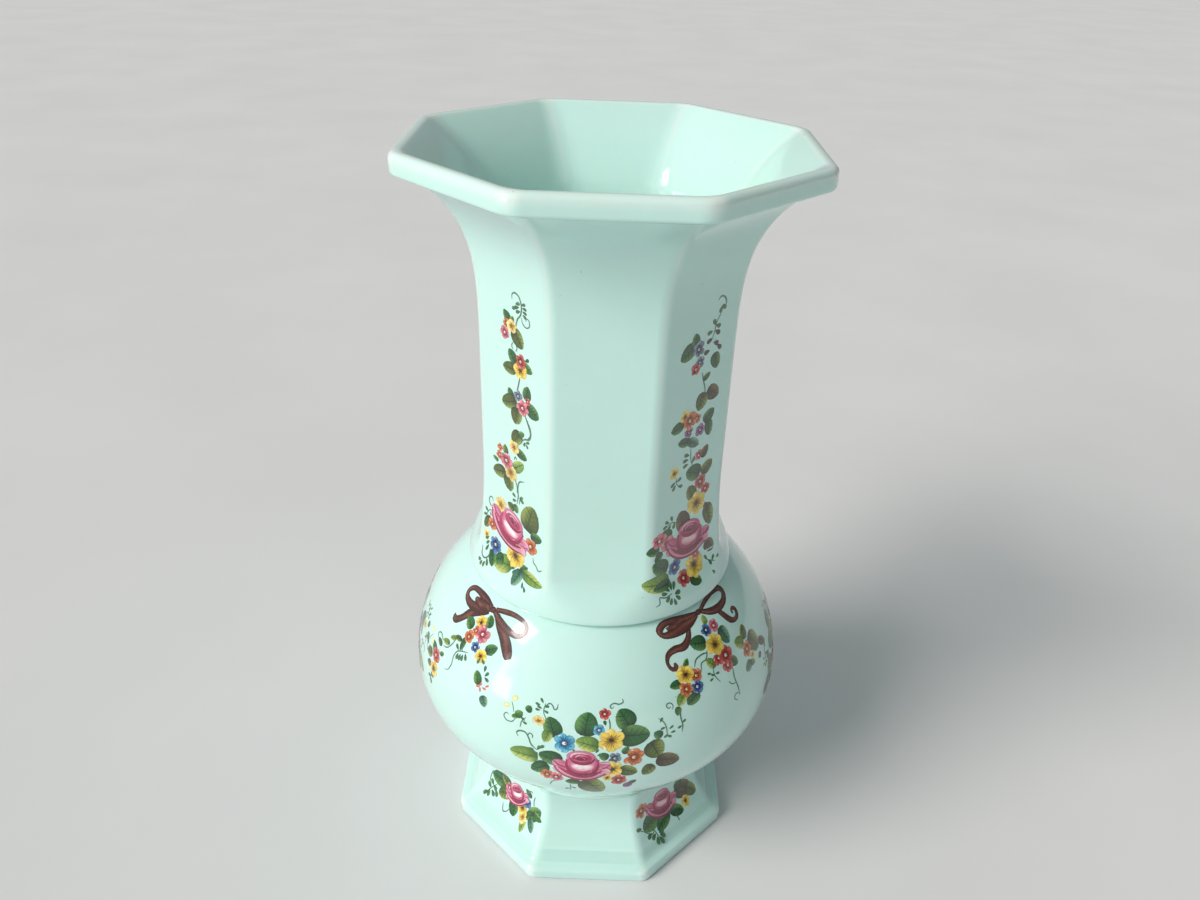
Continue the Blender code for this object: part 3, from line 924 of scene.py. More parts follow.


# ---------------------------------------------------------------- the motifs, laid out in mm
def bouquet(brush):
    """The large bunch on the bulb's front, round a pink rose."""
    brush.stroke([(9, 24.3), (9.3, 25.4), (8, 26), (6.5, 25.6), (5.2, 26.4), (5.8, 27.3),
                  (6.4, 26.6)], 0.45)
    brush.stroke([(5, 30.6), (5.4, 32.6), (5.4, 35)], 0.45)
    brush.dab(3.8, 32, 1.8, 1.1, 110, "leaves", LEAF_TONES["dark"])
    brush.sprig([(-15, 33), (-16, 30.5), (-15.4, 27.6)],
                [(-18, 28.4, 170), (-16.6, 27, 120), (-15, 28.6, 20)])
    brush.leaflets([(-18, 30.2, 180), (-15.2, 30.3, -20), (-17.4, 29.3, 160)])
    brush.stroke([(-15.4, 28.4), (-14, 27.3), (-13, 28), (-12.6, 29), (-11.7, 28.7), (-11.3, 27)], 0.42)
    brush.leaves((-13, 35, 6.6, 5.8, 110, "dark"), (-14.8, 38.6, 4.4, 3.2, 250, "light"))
    brush.flower(-17.6, 33.8, 4.2, "cream", 200, 4, 0.7)
    brush.leaves(
        (-21, 30.8, 2.4, 2.2, 60, "dark"), (-24.4, 33.5, 3, 2.4, 40),
        (-26, 34.8, 2.2, 1.5, 200),
    )
    brush.spot(-29, 32, 2.8, 1.6, "yellows", FAINT_TONES, 20)
    brush.spot(-26, 28.8, 2.6, 1.8, "yellows", FAINT_TONES, 35)
    brush.stroke([(-27.2, 30.2), (-26.6, 32), (-26.4, 33.6)], 0.3)
    brush.stroke([(-25.8, 35.6), (-27, 37), (-29, 37.1), (-30, 35.8), (-29, 34.6), (-28, 35)], 0.4)
    brush.stroke([(-22, 34), (-23.4, 35.6), (-24, 38)], 0.4)
    brush.leaflets([(-22.4, 35.9, -20), (-23, 34.8, 150)])
    brush.stroke([(-24.6, 41.4), (-25.2, 40.2), (-24, 39.2), (-22, 39.2), (-20.8, 41), (-20, 43),
                  (-18, 44.6)], 0.55)
    brush.stroke([(-21.4, 40.4), (-20.6, 39), (-19.6, 39.4), (-19.6, 40.6)], 0.4)
    brush.leaflets([(-20, 44.8, 190), (-16.4, 43, 40), (-16.2, 45.2, 10), (-18.2, 46.4, 250),
                    (-17.4, 43.6, 60)], 2, 1)
    brush.leaves(
        (-13.4, 46.5, 7.6, 5.2, 175, "dark"), (-22.6, 47.6, 9.4, 5.4, 184, "light"),
        (-17, 51.6, 6.6, 4.8, 215, "dark"), (-2, 32.6, 7.8, 6.8, 82, "dark"),
        (10.2, 30.8, 7, 6, 122, "dark"), (13.6, 37, 9.4, 7, -2, "dark"),
    )
    brush.flowers((3.6, 29, 3.8, "red"), (2, 34.4, 3.8, "blue", 140))
    brush.leaf(-1.6, 39.4, 7.2, 5.2, 168, "light")
    brush.flowers((6, 38, 8.4, "yellow", 90, 6), (-9, 40, 7.4, "blue", 100, 6))
    brush.leaf(3.8, 44, 3.2, 2.8, 150, "dark")
    brush.leaflets([(1.6, 42, 60), (2.4, 43.4, 30), (-5.6, 42.6, 130)])
    brush.leaf(10.8, 42, 2.8, 2.2, 60, "dark")
    brush.flower(7.4, 44.9, 4.4, "grey", 60)
    brush.leaves(
        (20.6, 43.4, 7, 6.4, -62, "olive"), (25.4, 48.9, 8.2, 5.2, -18, "brown"),
        (18.6, 51.4, 4.8, 4.2, 230, "olive"), (12, 50.6, 6, 4.2, -20, "olive"),
        (21.4, 38, 3.2, 2.8, 150, "dark"),
    )
    brush.sprig([(21.2, 32.4), (23, 34), (24.2, 36.4), (24.6, 39.6)],
                [(25.9, 36.6, 30), (26.6, 38.4, 0), (25.4, 39.6, -30)])
    brush.leaflets([(22.2, 33.2, 60), (23, 36.2, 190), (24.2, 39.2, 210)])
    brush.flower(13.6, 45, 7, "orange", 80, 6)
    brush.leaves((0.6, 58.4, 9.2, 7.8, -48, "olive"), (-6, 56, 4.6, 2.8, 190, "dark"))
    brush.sprig([(-6.8, 57.6), (-6.6, 60), (-6.9, 62.6)], [(-5.6, 60, -30), (-7.7, 61.2, 210)])
    brush.stroke([(-11.6, 56.6), (-13, 58.2), (-13.6, 60.6)], 0.4, "lines", TEAL_TONES)
    brush.flowers(
        (-14.4, 54.2, 4.6, "orange", 190, 5), (-11.4, 54.6, 4.6, "pink", 60),
        (6.8, 49.4, 6.6, "yellow", 250, 5), (5.2, 53.2, 3.2, "yellow", 250, 4),
    )
    brush.spot(12, 58, 3.4, 3, "roses", FLOWER_TONES["violet"][1:3], 40)
    brush.leaf(13.6, 56.4, 2.8, 1.8, 30, "brown")
    brush.flower(9, 54.6, 5.2, "red", 40, 6)
    brush.rose(-3, 47.4, 10.8, 0)


def bow_right(brush):
    """A brown ribbon bow, solid on its left and open on its right, above a chain of flowers."""
    brush.ribbon((-6.4, 7.2, 1.6), (-8.4, 10.4, 2), (-11.4, 12.4, 2.6), (-14.6, 12.3, 2.4),
                 (-17.6, 13.2, 1.8), (-19.2, 15.4, 1.2), (-19, 17.6, 1.4), (-17.8, 18.3, 1.6),
                 (-16.9, 17.3, 1.5), (-17.2, 16.3, 0.8))
    brush.ribbon((8.2, 8.6, 1.8), (9.6, 11, 2.2), (11.4, 13.6, 2.2), (13.6, 14.9, 1.6), (15.8, 14.6, 1.8),
                 (16.4, 12.8, 1.6), (15.2, 11.5, 1.3), (14, 12, 1), (14.4, 12.9, 0.7))
    brush.ribbon((1, 4.9, 1.4), (4.5, 6.7, 2.4), (8.5, 7.7, 2.8), (13, 7.4, 2.4), (15.2, 5.4, 2.2),
                 (14, 3.2, 2), (9.5, 2.5, 1.5), (5, 3.1, 1.6), (1, 4.6, 1.3))
    brush.ribbon((-1, 5.2, 1.2), (-5, 6.2, 3), (-9, 6.9, 3.6), (-13, 7.4, 2.8), (-16, 7.1, 2.2),
                 (-16.6, 5.4, 2.2), (-14, 3.6, 2.2), (-10.5, 3.4, 2.4), (-6, 4.2, 2.6), (-1, 4.6, 1.4))
    brush.ribbon((-8, 4.6, 1.8), (-11, 5.2, 2), (-14, 5.6, 1.2))
    brush.spot(0, 4.7, 3, 1.9, "ribbons", RIBBON_TONES[1::-1], 5)
    brush.leaves(
        (0.6, 7.8, 3, 2.2, 80, "light"), (-6, 13.4, 6, 4.8, 165, "dark"),
        (5.6, 16, 6.2, 4.4, -75, "blue"),
    )
    brush.flowers((3, 11.2, 4.4, "pink", 50), (-0.8, 11, 4.2, "navy", 100))
    brush.leaves((-4.4, 21.2, 4.4, 3, 130, "light"), (5.6, 25.6, 4, 3.2, -40, "dark"))
    brush.stroke([(-4, 17.6), (-6.6, 17.2), (-9.4, 17.9), (-11, 20)], 0.5)
    brush.stroke([(-4, 16.8), (-5.6, 19.2), (-8, 19.8), (-9, 22.2)], 0.45)
    brush.flowers(
        (-0.6, 21.2, 5.2, "red", 150, 5), (2.2, 25.2, 5, "red", 250, 5), (2.6, 21.8, 6.6, "red", 80, 6),
        (0, 16.6, 7.8, "yellow", 90, 6),
    )
    brush.sprig([(-4.2, 22.6), (-4.6, 25.6), (-3, 28.8)],
                [(-6.4, 24.2, 160), (-6.2, 26.4, 190), (-3.2, 25.4, -10), (-5.2, 25.2, 150)])
    brush.stroke([(4, 26.6), (3.6, 30.6), (4.4, 34.6), (4.8, 38)], 0.55)
    brush.stroke([(0.5, 30.4), (1.8, 32), (3.8, 32.6)], 0.4)
    brush.stroke([(4.6, 36.8), (2.6, 36.4), (1.9, 37.8), (3.4, 39.2)], 0.4)
    brush.leaves(
        (-13.4, 17.8, 3.6, 1.8, 50), (-19.4, 23.2, 4.4, 2.8, 186, "dark"),
        (-15, 29.3, 5.6, 4, -150, "dark"), (-19.2, 28.4, 4.6, 3.2, 230, "light"),
        (-21.4, 31.8, 3, 2.2, 250),
    )
    brush.flowers(
        (-11.5, 22.6, 4.8, "orange", 30), (-12.4, 26.2, 4.8, "navy", 80), (-16.4, 25.6, 5.2, "orange", 130),
        (-15, 21, 6.6, "yellow", 100, 6),
    )
    brush.curl(-24, 29.3, 1.5, -60, 400)
    brush.stroke([(-20.4, 31), (-21, 34), (-20.8, 37), (-21.4, 39.4)], 0.5)
    brush.leaflets([(-20.1, 35.8, 30), (-21.9, 37.4, 200)])
    brush.leaves(
        (11, 21.8, 5, 3.8, 150, "light"), (15, 20.3, 4.6, 3.8, 70, "olive"),
        (19.4, 26.4, 8.4, 6.2, -50, "olive"), (25.6, 30.2, 6.4, 2.8, -35, "brown"),
        (12.6, 31.6, 4.2, 3.6, 200, "blue"), (15.6, 31.8, 3, 2.4, -30),
    )
    brush.flowers((14, 26, 5.4, "orange", 60), (16.4, 29.5, 3.2, "cream", 200, 4))
    brush.spot(21.5, 33, 2.6, 2.2, "ribbons", RIBBON_TONES[1::-1], 0)


def bow_left(brush):
    """A lighter ribbon bow with open loops, its flowers running down and out to the left."""
    brush.ribbon((-1.2, 7.6, 2.6), (-2.9, 8.8, 3.2), (-6, 10.8, 3.6), (-8.4, 13.3, 3),
                 (-10.3, 15.9, 2.4), (-12.5, 18, 2.5), (-14, 18.3, 2), (-14, 16.9, 1.4))
    brush.ribbon((2.6, 7.2, 2), (5.8, 9.6, 2.9), (9.2, 12, 3.4), (11.8, 14.4, 3.7), (13.8, 16.8, 3.3),
                 (14.8, 18.2, 2.2))
    brush.ribbon((1, 6.8, 1.6), (5.4, 8.6, 2.4), (10.6, 10, 2.2), (14, 10, 1.9), (15.4, 8.2, 1.6),
                 (13.8, 5.6, 1.3), (9.6, 4.5, 1.6), (5.4, 4.8, 1.9), (1, 6.1, 1.6))
    brush.ribbon((-1, 7, 2), (-5.2, 9.3, 3.4), (-9.9, 10.4, 2.8), (-13.4, 9.9, 2.2), (-14.6, 8.1, 2),
                 (-13, 6, 1.9), (-9.3, 5.3, 2.2), (-5.2, 5.6, 2.8), (-1, 6.4, 1.8))
    brush.ribbon((-2, 7.2, 2.6), (-5, 7.6, 3.4), (-8, 7.8, 2.4), (-9.6, 7.6, 1))
    brush.spot(0, 6.7, 2.8, 2.2, "ribbons", RIBBON_TONES[1::-1], 0)
    brush.leaves(
        (1.7, 10.4, 4.2, 3, 120), (-5.6, 14.8, 4.4, 3.6, 150),
        (7.6, 17.8, 4.6, 3.4, 40, "dark"), (-4.2, 22.2, 4.6, 2.2, -95, "dark"),
        (-7.2, 21.8, 3.6, 1.8, 190, "olive"), (-9.6, 23.2, 3.4, 1.7, 205, "light"),
    )
    brush.flowers(
        (-1.2, 12.4, 4.8, "yellow", 120), (-1.4, 15.6, 3.4, "orange", 200, 4),
        (-3, 18.8, 4.6, "orange", 250), (1.4, 20.2, 3.8, "navy", 20), (4.9, 21.6, 5, "yellow", 70),
        (1.8, 15.2, 6, "pink", 90, 6),
    )
    brush.leaflets([(5, 23.3, -100), (6.7, 22.6, -40), (8, 19.4, 30)], 2, 0.9)
    brush.stroke([(-0.4, 23.4), (-3, 24.3), (-5.2, 25.6), (-6.2, 28), (-6, 31), (-7, 33.6),
                  (-8.8, 34.6)], 0.45)
    brush.stroke([(-4, 21.6), (-3.4, 24.2)], 0.45)
    brush.leaflets([(-6, 24.4, 150), (-4.6, 27, -95), (-3.4, 26.7, -90), (-2.2, 26.2, -85),
                    (-0.8, 25.2, -60)], 2.2, 1.1)
    brush.stroke([(-8, 22.4), (-9.2, 25.6), (-11, 27.8), (-13.4, 28.6)], 0.45)
    brush.leaves((-12.4, 26.4, 4.2, 2, 195, "light"), (-16, 28.8, 3.6, 2, 170, "dark"))
    brush.stroke([(-14.6, 27.4), (-17, 26.2), (-18.8, 27.2), (-18.2, 28.6)], 0.45)
    brush.leaves(
        (-18.4, 32.6, 4.6, 3.2, 150, "dark"), (-21.2, 36.2, 4.6, 3.4, 200, "olive"),
        (-12.6, 31.4, 2.6, 1.6, 30, "dark"), (-20, 39.8, 3.2, 2.4, 200, "brown"),
    )
    brush.flowers((-16, 34.2, 5.6, "red", 60, 5), (-15.8, 39.4, 5.8, "yellow", 100, 6))
    brush.sprig([(-16.4, 40.4), (-17, 43), (-17.6, 45.4)],
                [(-16.2, 42.4, -20), (-18.2, 43.8, 200), (-16.8, 45, -60)], 2.2, 1.1)
    brush.leaf(7, 28.4, 4.6, 3.2, 120)
    brush.leaflets([(10, 25.8, 60), (10.6, 27.4, -20), (8.6, 24.4, 100)], 2, 1, "blue")
    for x, y, turn in ((9, 30, 60), (9.4, 31.6, -70), (10.8, 30.6, 0), (11.6, 29.4, 40), (8.2, 31, 190)):
        brush.dab(x, y, 1.8, 0.8, turn, "reds", FLOWER_TONES["red"][2:4])
    brush.leaf(12, 34.8, 3.8, 3.2, -60, "blue")


def garland_left(brush):
    """A falling chain of small bunches over a bed of flowers round a rose."""
    brush.leaf_growth = 1.1
    brush.stroke([(1.1, 221.4), (1.2, 222.8), (2.4, 223.7), (4, 223.2), (4.9, 221.4), (5, 219.4),
                  (4.4, 217.4), (3, 215.8), (2.2, 213.6), (1.6, 211)], 0.55)
    brush.leaflets([(3.4, 220.6, 20), (2.9, 219.4, 195), (1.8, 218.9, 200), (3.4, 218.2, 200)], 2, 1)
    brush.leaflets([(6, 221, 20), (6.3, 219.8, -5), (6.3, 218.6, -15), (6.2, 217.4, -30)], 1.8, 0.9)
    brush.stroke([(4.8, 216.8), (5.2, 215.2), (6.6, 214.3), (8.1, 215), (8.2, 216.6), (7.2, 217.2),
                  (6.6, 216.2)], 0.42)
    brush.leaves(
        (-1.8, 215.4, 3.6, 2.6, 130, "dark"), (2.8, 209.6, 5.6, 4.2, -50, "olive"),
        (0.4, 214.8, 2.4, 1.6, 60, "olive"),
    )
    brush.flowers(
        (-1.9, 213, 3.4, "orange", 130), (-3, 209.9, 4.4, "pink", 190), (0.2, 212.8, 4.4, "cream", 20),
    )
    brush.stroke([(0.6, 208), (0, 206.8), (0.4, 205.6)], 0.4)
    brush.stroke([(2, 207.4), (2.4, 206.4), (1.8, 205.4)], 0.4)
    brush.leaves((0.2, 203.4, 4.2, 3.2, 130, "dark"), (7, 201.6, 3.8, 2.6, -20))
    brush.dab(6.8, 204.1, 2, 1.2, 30, "leaves", LEAF_TONES["dark"])
    brush.leaf(-1.2, 199.2, 5.2, 3.4, 184, "olive")
    brush.flowers((3.8, 200, 6.2, "yellow", 250, 5), (4, 202.9, 4.6, "red", 90))
    brush.stroke([(3.6, 197.8), (2.8, 195), (2, 192), (1.7, 189.4)], 0.5)
    brush.leaves(
        (6.6, 193.5, 4.2, 3.2, 80, "dark"), (-1, 191, 3, 2.4, 120, "dark"),
        (-1.6, 188, 6.2, 4.2, 200, "olive"), (9.2, 188.2, 5, 4, -20, "dark"),
        (1.6, 184.2, 5, 4.2, -100, "olive"),
    )
    brush.flowers(
        (2.6, 191.2, 3.8, "grey", 90), (7, 191, 2.6, "red", 60, 4), (4.6, 188, 5.4, "pink", 110, 6),
    )
    brush.stroke([(5.6, 186), (7, 183.6), (8.2, 180.6), (7.4, 178.4), (5.6, 177.8), (4.2, 176.8)], 0.55)
    brush.stroke([(6.4, 184.6), (8, 182.2), (8, 179.8), (6.6, 178.2)], 0.42)
    brush.leaflets([(5.3, 176, -110), (6.7, 177, 20), (6.4, 175.6, -60)], 1.5, 0.8)
    brush.leaves(
        (1.5, 176.6, 5, 4, 230, "olive"), (3.8, 178.7, 2.6, 1.8, 30),
        (3.8, 171.4, 4.4, 2.8, -15, "dark"),
    )
    brush.flower(0.4, 172.8, 4.8, "cream", 60)
    brush.leaf(-4, 170.2, 3, 2.2, 100, "olive")
    brush.flowers((-6.6, 170, 2.8, "orange", 100, 4), (-7, 167, 3.4, "orange", 200, 4))
    brush.leaves(
        (2.2, 166.6, 5.4, 3.4, 38, "light"), (-7.2, 161, 5.6, 4, 195, "olive"),
        (-2.6, 158.6, 5, 4, -70, "olive"), (-9, 164.8, 2.4, 1.4, 160),
    )
    brush.flowers((-1.6, 162.9, 6.2, "cream", 40, 6), (-3.6, 166.4, 5.8, "pink", 70, 5))
    brush.stroke([(0.2, 168.2), (0.8, 169.6), (1.4, 168.6)], 0.4)
    brush.stroke([(4.8, 162.2), (2.6, 161.2), (1.8, 158.6), (2, 155.6), (1.4, 152.6)], 0.5)
    brush.stroke([(0.4, 161.4), (1.4, 159), (1.5, 156.6)], 0.4)
    brush.sprig([(3, 156), (2.6, 153)],
                [(0, 155.2, 150), (3.8, 154.6, -20), (0.2, 153.4, 200), (3.4, 155.6, 30)], 1.8, 1)
    brush.leaves(
        (-1.4, 150.4, 3.2, 2.4, 160, "olive"), (1, 150.6, 2.8, 2.2, -60),
        (8, 150, 8.6, 7.2, 75, "olive"), (11.2, 144.5, 4.6, 3, 10, "dark"),
    )
    brush.stroke([(-10.2, 146.2), (-11.6, 145.8), (-12.6, 147.4), (-12, 149), (-10.8, 149),
                  (-10.6, 147.8)], 0.45)
    brush.flower(-6.6, 148.4, 6, "cream", 150, 5)
    brush.sprig([(-9.6, 144.6), (-12.4, 143.6), (-14, 141)],
                [(-13.6, 143.4, 140), (-11.2, 143, 240), (-14.2, 141.4, 200)], 2, 1)
    brush.leaf(-13, 139, 4.8, 2.8, 240, "olive")
    brush.flowers(
        (-10.4, 139.2, 4.6, "orange", 200), (-13, 134.2, 3.6, "cream", 240, 4),
        (8.9, 140.4, 6, "orange", 60, 5),
    )
    brush.leaves(
        (-3, 128.6, 7.8, 4.8, 190, "light"), (-5, 129, 3.6, 3.4, 210, "dark"),
        (6.8, 131, 3.4, 2.4, 40, "dark"), (11.2, 129.3, 8.6, 3, -6, "light"),
        (5, 127.3, 4.8, 3.6, -110, "blue"), (-8, 128, 4.6, 2.8, -60, "dark"),
    )
    brush.flower(-8.1, 132.5, 6, "navy", 90, 6)
    brush.leaflets([(-12, 131.6, 230), (-11.8, 129.8, 250), (-12.6, 133, 220)], 2.2, 1)
    brush.stroke([(-14.3, 129.4), (-13.6, 126.8), (-11.4, 126.4), (-9.9, 127.8), (-10.4, 130)], 0.5)
    brush.leaflets([(-14.3, 124.7, 200), (-13, 124.1, 235), (-11.2, 124.5, -110),
                    (-9.7, 125.8, -60)], 2.2, 1.1)
    brush.flower(2.1, 133.4, 8.8, "yellow", 80, 6)
    brush.leaflets([(2, 129, 200), (8.4, 126.4, -60), (9.8, 125.6, -50), (3, 128.4, 240)], 1.8, 0.8, "blue")
    brush.stroke([(10.4, 137), (10.8, 135.4), (12, 134.8), (13.4, 133.5), (15, 134.6)], 0.5)
    brush.rose(-0.8, 142.9, 11.6, -24)


def garland_right(brush):
    """A fuller falling chain over a bed of flowers round a darker rose."""
    brush.leaf_growth = 1.14
    brush.stroke([(5, 221.6), (5.8, 222.6), (7.4, 222.2), (8.6, 220.6), (8.6, 218.8)], 0.6)
    brush.stroke([(7.2, 219.6), (6.8, 217), (5.4, 214.6), (5, 212), (4, 209)], 0.45)
    brush.leaflets([(6.8, 218.4, 250), (8, 219, -40), (4.6, 214.8, 120), (6.4, 213.4, -20),
                    (3, 212, 190)], 2.2, 1.3)
    brush.leaflets([(6.4, 211.4, -30), (3.2, 209.4, 200), (6.2, 208, -20), (7.8, 206.4, -40),
                    (2.4, 206, 190)], 2.4, 1.4, "brown")
    brush.leaves(
        (6.8, 202.2, 4.6, 3.4, -70, "dark"), (-6, 208, 5.6, 4.2, 210, "dark"),
        (-3, 211.2, 3.8, 2.8, 100, "dark"),
    )
    brush.flowers(
        (-0.4, 203.6, 4, "grey", 30), (-2, 201.8, 4, "red", 230), (-1.4, 208, 5.2, "grey", 90, 6),
    )
    brush.stroke([(1.2, 199.8), (2, 197), (3, 194.4), (3.4, 191)], 0.5)
    brush.leaves(
        (3.4, 198, 3, 1.8, 30), (7, 191.6, 5.2, 4.2, -30, "brown"),
        (2, 190, 5, 4.2, 250, "olive"), (-8, 184.2, 4.6, 3.2, 190, "dark"),
        (6.2, 184, 4.6, 3.6, 40, "dark"), (6.6, 179.6, 4.8, 3, -80, "dark"),
        (-4.4, 178.2, 4.6, 2.8, 170, "dark"), (0, 176.6, 4.8, 2.8, -30, "blue"),
    )
    brush.flowers(
        (-5, 187.2, 4.2, "yellow", 120, 5), (0.6, 184.8, 3.6, "orange", 20, 4),
        (-2.6, 181, 3.8, "violet", 240, 5), (2.6, 180.2, 4.4, "violet", 300, 5),
        (-2.6, 185, 6.4, "orange", 90, 6),
    )
    brush.sprig([(-1, 175), (-0.6, 171), (0.6, 168)],
                [(-2.6, 173, 160), (-3, 171.2, 180), (-2.8, 169.4, 190), (0.8, 170.4, 60)], 2.4, 1.2)
    brush.flower(3, 171, 3.8, "pink", 150, 5)
    brush.leaves(
        (5.8, 171.5, 3.8, 2.6, 60, "brown"), (1.2, 165.5, 6, 4.8, 160, "dark"),
        (7.6, 165.2, 4.8, 3.8, 40, "olive"),
    )
    brush.flower(-7.8, 168.6, 4.2, "yellow", 150, 5)
    brush.sprig([(-6.8, 166.6), (-6.4, 164.4), (-4.4, 162)],
                [(-8, 164.6, 210), (-5.4, 165.4, 20), (-7.4, 163.2, 240), (-4.6, 162.8, -20)], 2.2, 1.1)
    brush.leaf(1, 158.2, 5, 3.8, 120, "olive")
    brush.flowers((7.8, 157, 4.4, "red", 300, 5), (5, 160.6, 5.4, "red", 100, 6))
    brush.leaf(-2.4, 149.2, 6.4, 5.2, 110, "brown")
    brush.sprig([(-4.6, 149), (-7, 150.4), (-9.6, 150.2)],
                [(-7.6, 152, 110), (-9.6, 151.4, 150), (-6.4, 149, 250), (-8.6, 149.2, 230),
                 (-10.4, 150, 190)], 2, 1.1)
    brush.leaves((10.2, 146.4, 7.4, 4, -75, "olive"), (8.8, 149.6, 3.2, 2.2, 110, "brown"))
    brush.flower(4, 153, 8.8, "yellow", 90, 6)
    brush.leaves(
        (-15.6, 143.2, 4.4, 3, 190, "dark"), (-13.4, 140.2, 3.6, 2.6, 230, "dark"),
        (-12.6, 136.2, 6.4, 4.8, 150, "dark"), (-9.4, 147.4, 4, 2.6, 150, "dark"),
    )
    brush.flowers((-13, 146.2, 6.4, "pink", 160, 5, 0.7), (-9, 143.4, 6.4, "pink", 140, 5, 0.8))
    brush.leaves(
        (11, 134, 5, 3.8, -50, "brown"), (-14.6, 130.8, 9.4, 5, 176, "light"),
        (-12.6, 129.4, 6.2, 2.6, 184, "dark"), (2, 126, 4.4, 3.2, -30, "dark"),
    )
    brush.flower(-2.9, 128.2, 5.4, "red", 110, 5)
    brush.stroke([(-9.5, 126), (-12.4, 125.6), (-14.6, 126.2), (-15.2, 124.2), (-17, 123.6)], 0.45)
    brush.leaflets([(-12.4, 126.8, 170), (-11.6, 124.8, 215), (-10.6, 123.8, 240), (-9.1, 123.2, -80),
                    (-7.6, 124.1, -45)], 2.2, 1.1)
    brush.leaflets([(-7.2, 125.5, 0), (-7.8, 127.8, 60), (-9.2, 128.2, 85), (-11, 127.9, 130)], 2.4, 1.2)
    brush.flowers(
        (3, 130.4, 8.6, "yellow", 260, 6), (4.2, 133.8, 4.4, "orange", 60, 4),
        (-6, 133.3, 5.8, "navy", 90, 6),
    )
    brush.sprig([(8, 131), (10, 129), (13, 127.6)],
                [(9, 130.2, 120), (10.4, 128.2, -60), (12.2, 129, 40), (11, 124.8, -40),
                 (15, 128.4, 0)], 2, 1)
    brush.rose(1, 142.2, 11.8, -8, "magenta")


def spray_left(brush):
    """A low spray along the foot, round a small pink rose."""
    brush.leaf_growth = 1.1
    brush.leaves(
        (-9.4, 19.6, 7.4, 5, 186, "dark"), (-5.6, 21, 5, 3.4, 160, "olive"),
        (-4.8, 16.6, 6.2, 4.6, 215, "olive"), (1.6, 14.3, 5, 4.2, -60, "dark"),
        (7, 24.2, 3.4, 2.4, 150, "dark"), (12, 18.4, 6.8, 4.4, 50),
        (13.4, 17.8, 4.6, 2.4, -5), (9.6, 16, 4.4, 2.8, 220),
        (12, 13.8, 4.4, 2.4, -50, "blue"), (8.4, 11.8, 4, 2.4, -80, "light"),
    )
    brush.stroke([(10.6, 25.2), (10.2, 22.8), (10.8, 20.4)], 0.5)
    brush.stroke([(9.2, 26.2), (7.6, 25.8), (6.6, 24)], 0.5)
    brush.flowers(
        (7.2, 14, 4.4, "cream", 280, 5), (5.6, 16.6, 5, "yellow", 60, 5), (6.9, 20, 4.8, "navy", 40, 5),
    )
    brush.stroke([(-13.8, 20.4), (-14.2, 17.6), (-13.6, 14.6)], 0.5)
    brush.sprig([(-9.8, 16.6), (-11.6, 14.4), (-13.4, 11.4)],
                [(-13.2, 14.4, 150), (-10.2, 14.8, -20), (-12.2, 12, -80)], 2.4, 1.3)
    brush.leaflets([(-10.2, 12.8, -30), (-13.6, 11.4, 220), (-8.6, 13.6, -40), (-12.4, 16, 140)], 2.4, 1.3)
    brush.stroke([(-4, 13), (-2.4, 10.8), (-0.6, 11.6), (0, 13.2)], 0.42)
    brush.flower(-3.4, 19.4, 4, "pink", 190, 5)
    brush.rose(1.2, 20.4, 7.4, 24)


def spray_right(brush):
    """A low spray along the foot, round a darker rose."""
    brush.leaf_growth = 1.14
    brush.leaves(
        (-9.8, 15.6, 7.2, 5.4, 195, "dark"), (-4, 13, 7, 4.2, 205, "dark"),
        (3.6, 12.8, 5.8, 3.4, -25, "dark"), (9.2, 18.4, 7.6, 5.8, -15, "brown"),
        (13, 15.8, 5.2, 4, -40, "olive"), (7.4, 22, 4.4, 3, 40, "dark"),
    )
    brush.flowers(
        (9, 13.4, 4.4, "yellow", 300, 5), (-13, 22.4, 6.4, "orange", 150, 6),
        (-9.4, 21, 4, "red", 200, 5),
    )
    brush.sprig([(-9, 13), (-11, 11.6), (-14.6, 14.6), (-16.4, 15.8)],
                [(-15.8, 15.8, 170), (-12.2, 11.6, 200), (-9.6, 9, 240)], 2.4, 1.3)
    brush.sprig([(-9.4, 12.4), (-8.6, 9.6)],
                [(-10.6, 10.6, 200), (-6.6, 10.6, 0), (-8, 8.4, -70), (-6.8, 9.4, -30)], 2.4, 1.3)
    brush.stroke([(2.6, 12), (3, 9.4)], 0.5)
    brush.rose(-2.2, 20.2, 9.4, -14, "magenta")


# ---------------------------------------------------------------- the sixteen motifs round the vase
# Each motif's name, what paints it, what it lies on, the degrees round from the front, the stretch across,
# negative when mirrored, and the flowers that change colour
ROUND_VASE = (
    ("front_bouquet", bouquet, bulb_section, 0, 1.0, None),
    ("right_bouquet", bouquet, bulb_section, 90, -1.02, {"red": "pink", "blue": "navy"}),
    ("left_bouquet", bouquet, bulb_section, -90, -0.98, {"orange": "pink", "grey": "blue"}),
    ("back_bouquet", bouquet, bulb_section, 180, 0.97,
     {"red": "orange", "yellow": "cream", "cream": "yellow"}),
    ("right_bow", bow_right, bulb_section, 45, 1.0, None),
    ("left_bow", bow_left, bulb_section, -45, 1.0, None),
    ("back_right_bow", bow_left, bulb_section, 135, -1.02, {"yellow": "cream", "navy": "blue"}),
    ("back_left_bow", bow_right, bulb_section, -135, -0.98, {"orange": "pink", "navy": "blue"}),
    ("left_garland", garland_left, neck_section, -45, 1.0, None),
    ("right_garland", garland_right, neck_section, 45, 1.0, None),
    ("back_right_garland", garland_left, neck_section, 135, -1.0, {"grey": "blue", "orange": "red"}),
    ("back_left_garland", garland_right, neck_section, -135, -0.98, {"violet": "blue", "red": "orange"}),
    ("left_spray", spray_left, foot_section, -45, 1.0, None),
    ("right_spray", spray_right, foot_section, 45, 1.0, None),
    ("back_right_spray", spray_left, foot_section, 135, -1.0, {"navy": "blue"}),
    ("back_left_spray", spray_right, foot_section, -135, -1.0, {"orange": "pink"}),
)
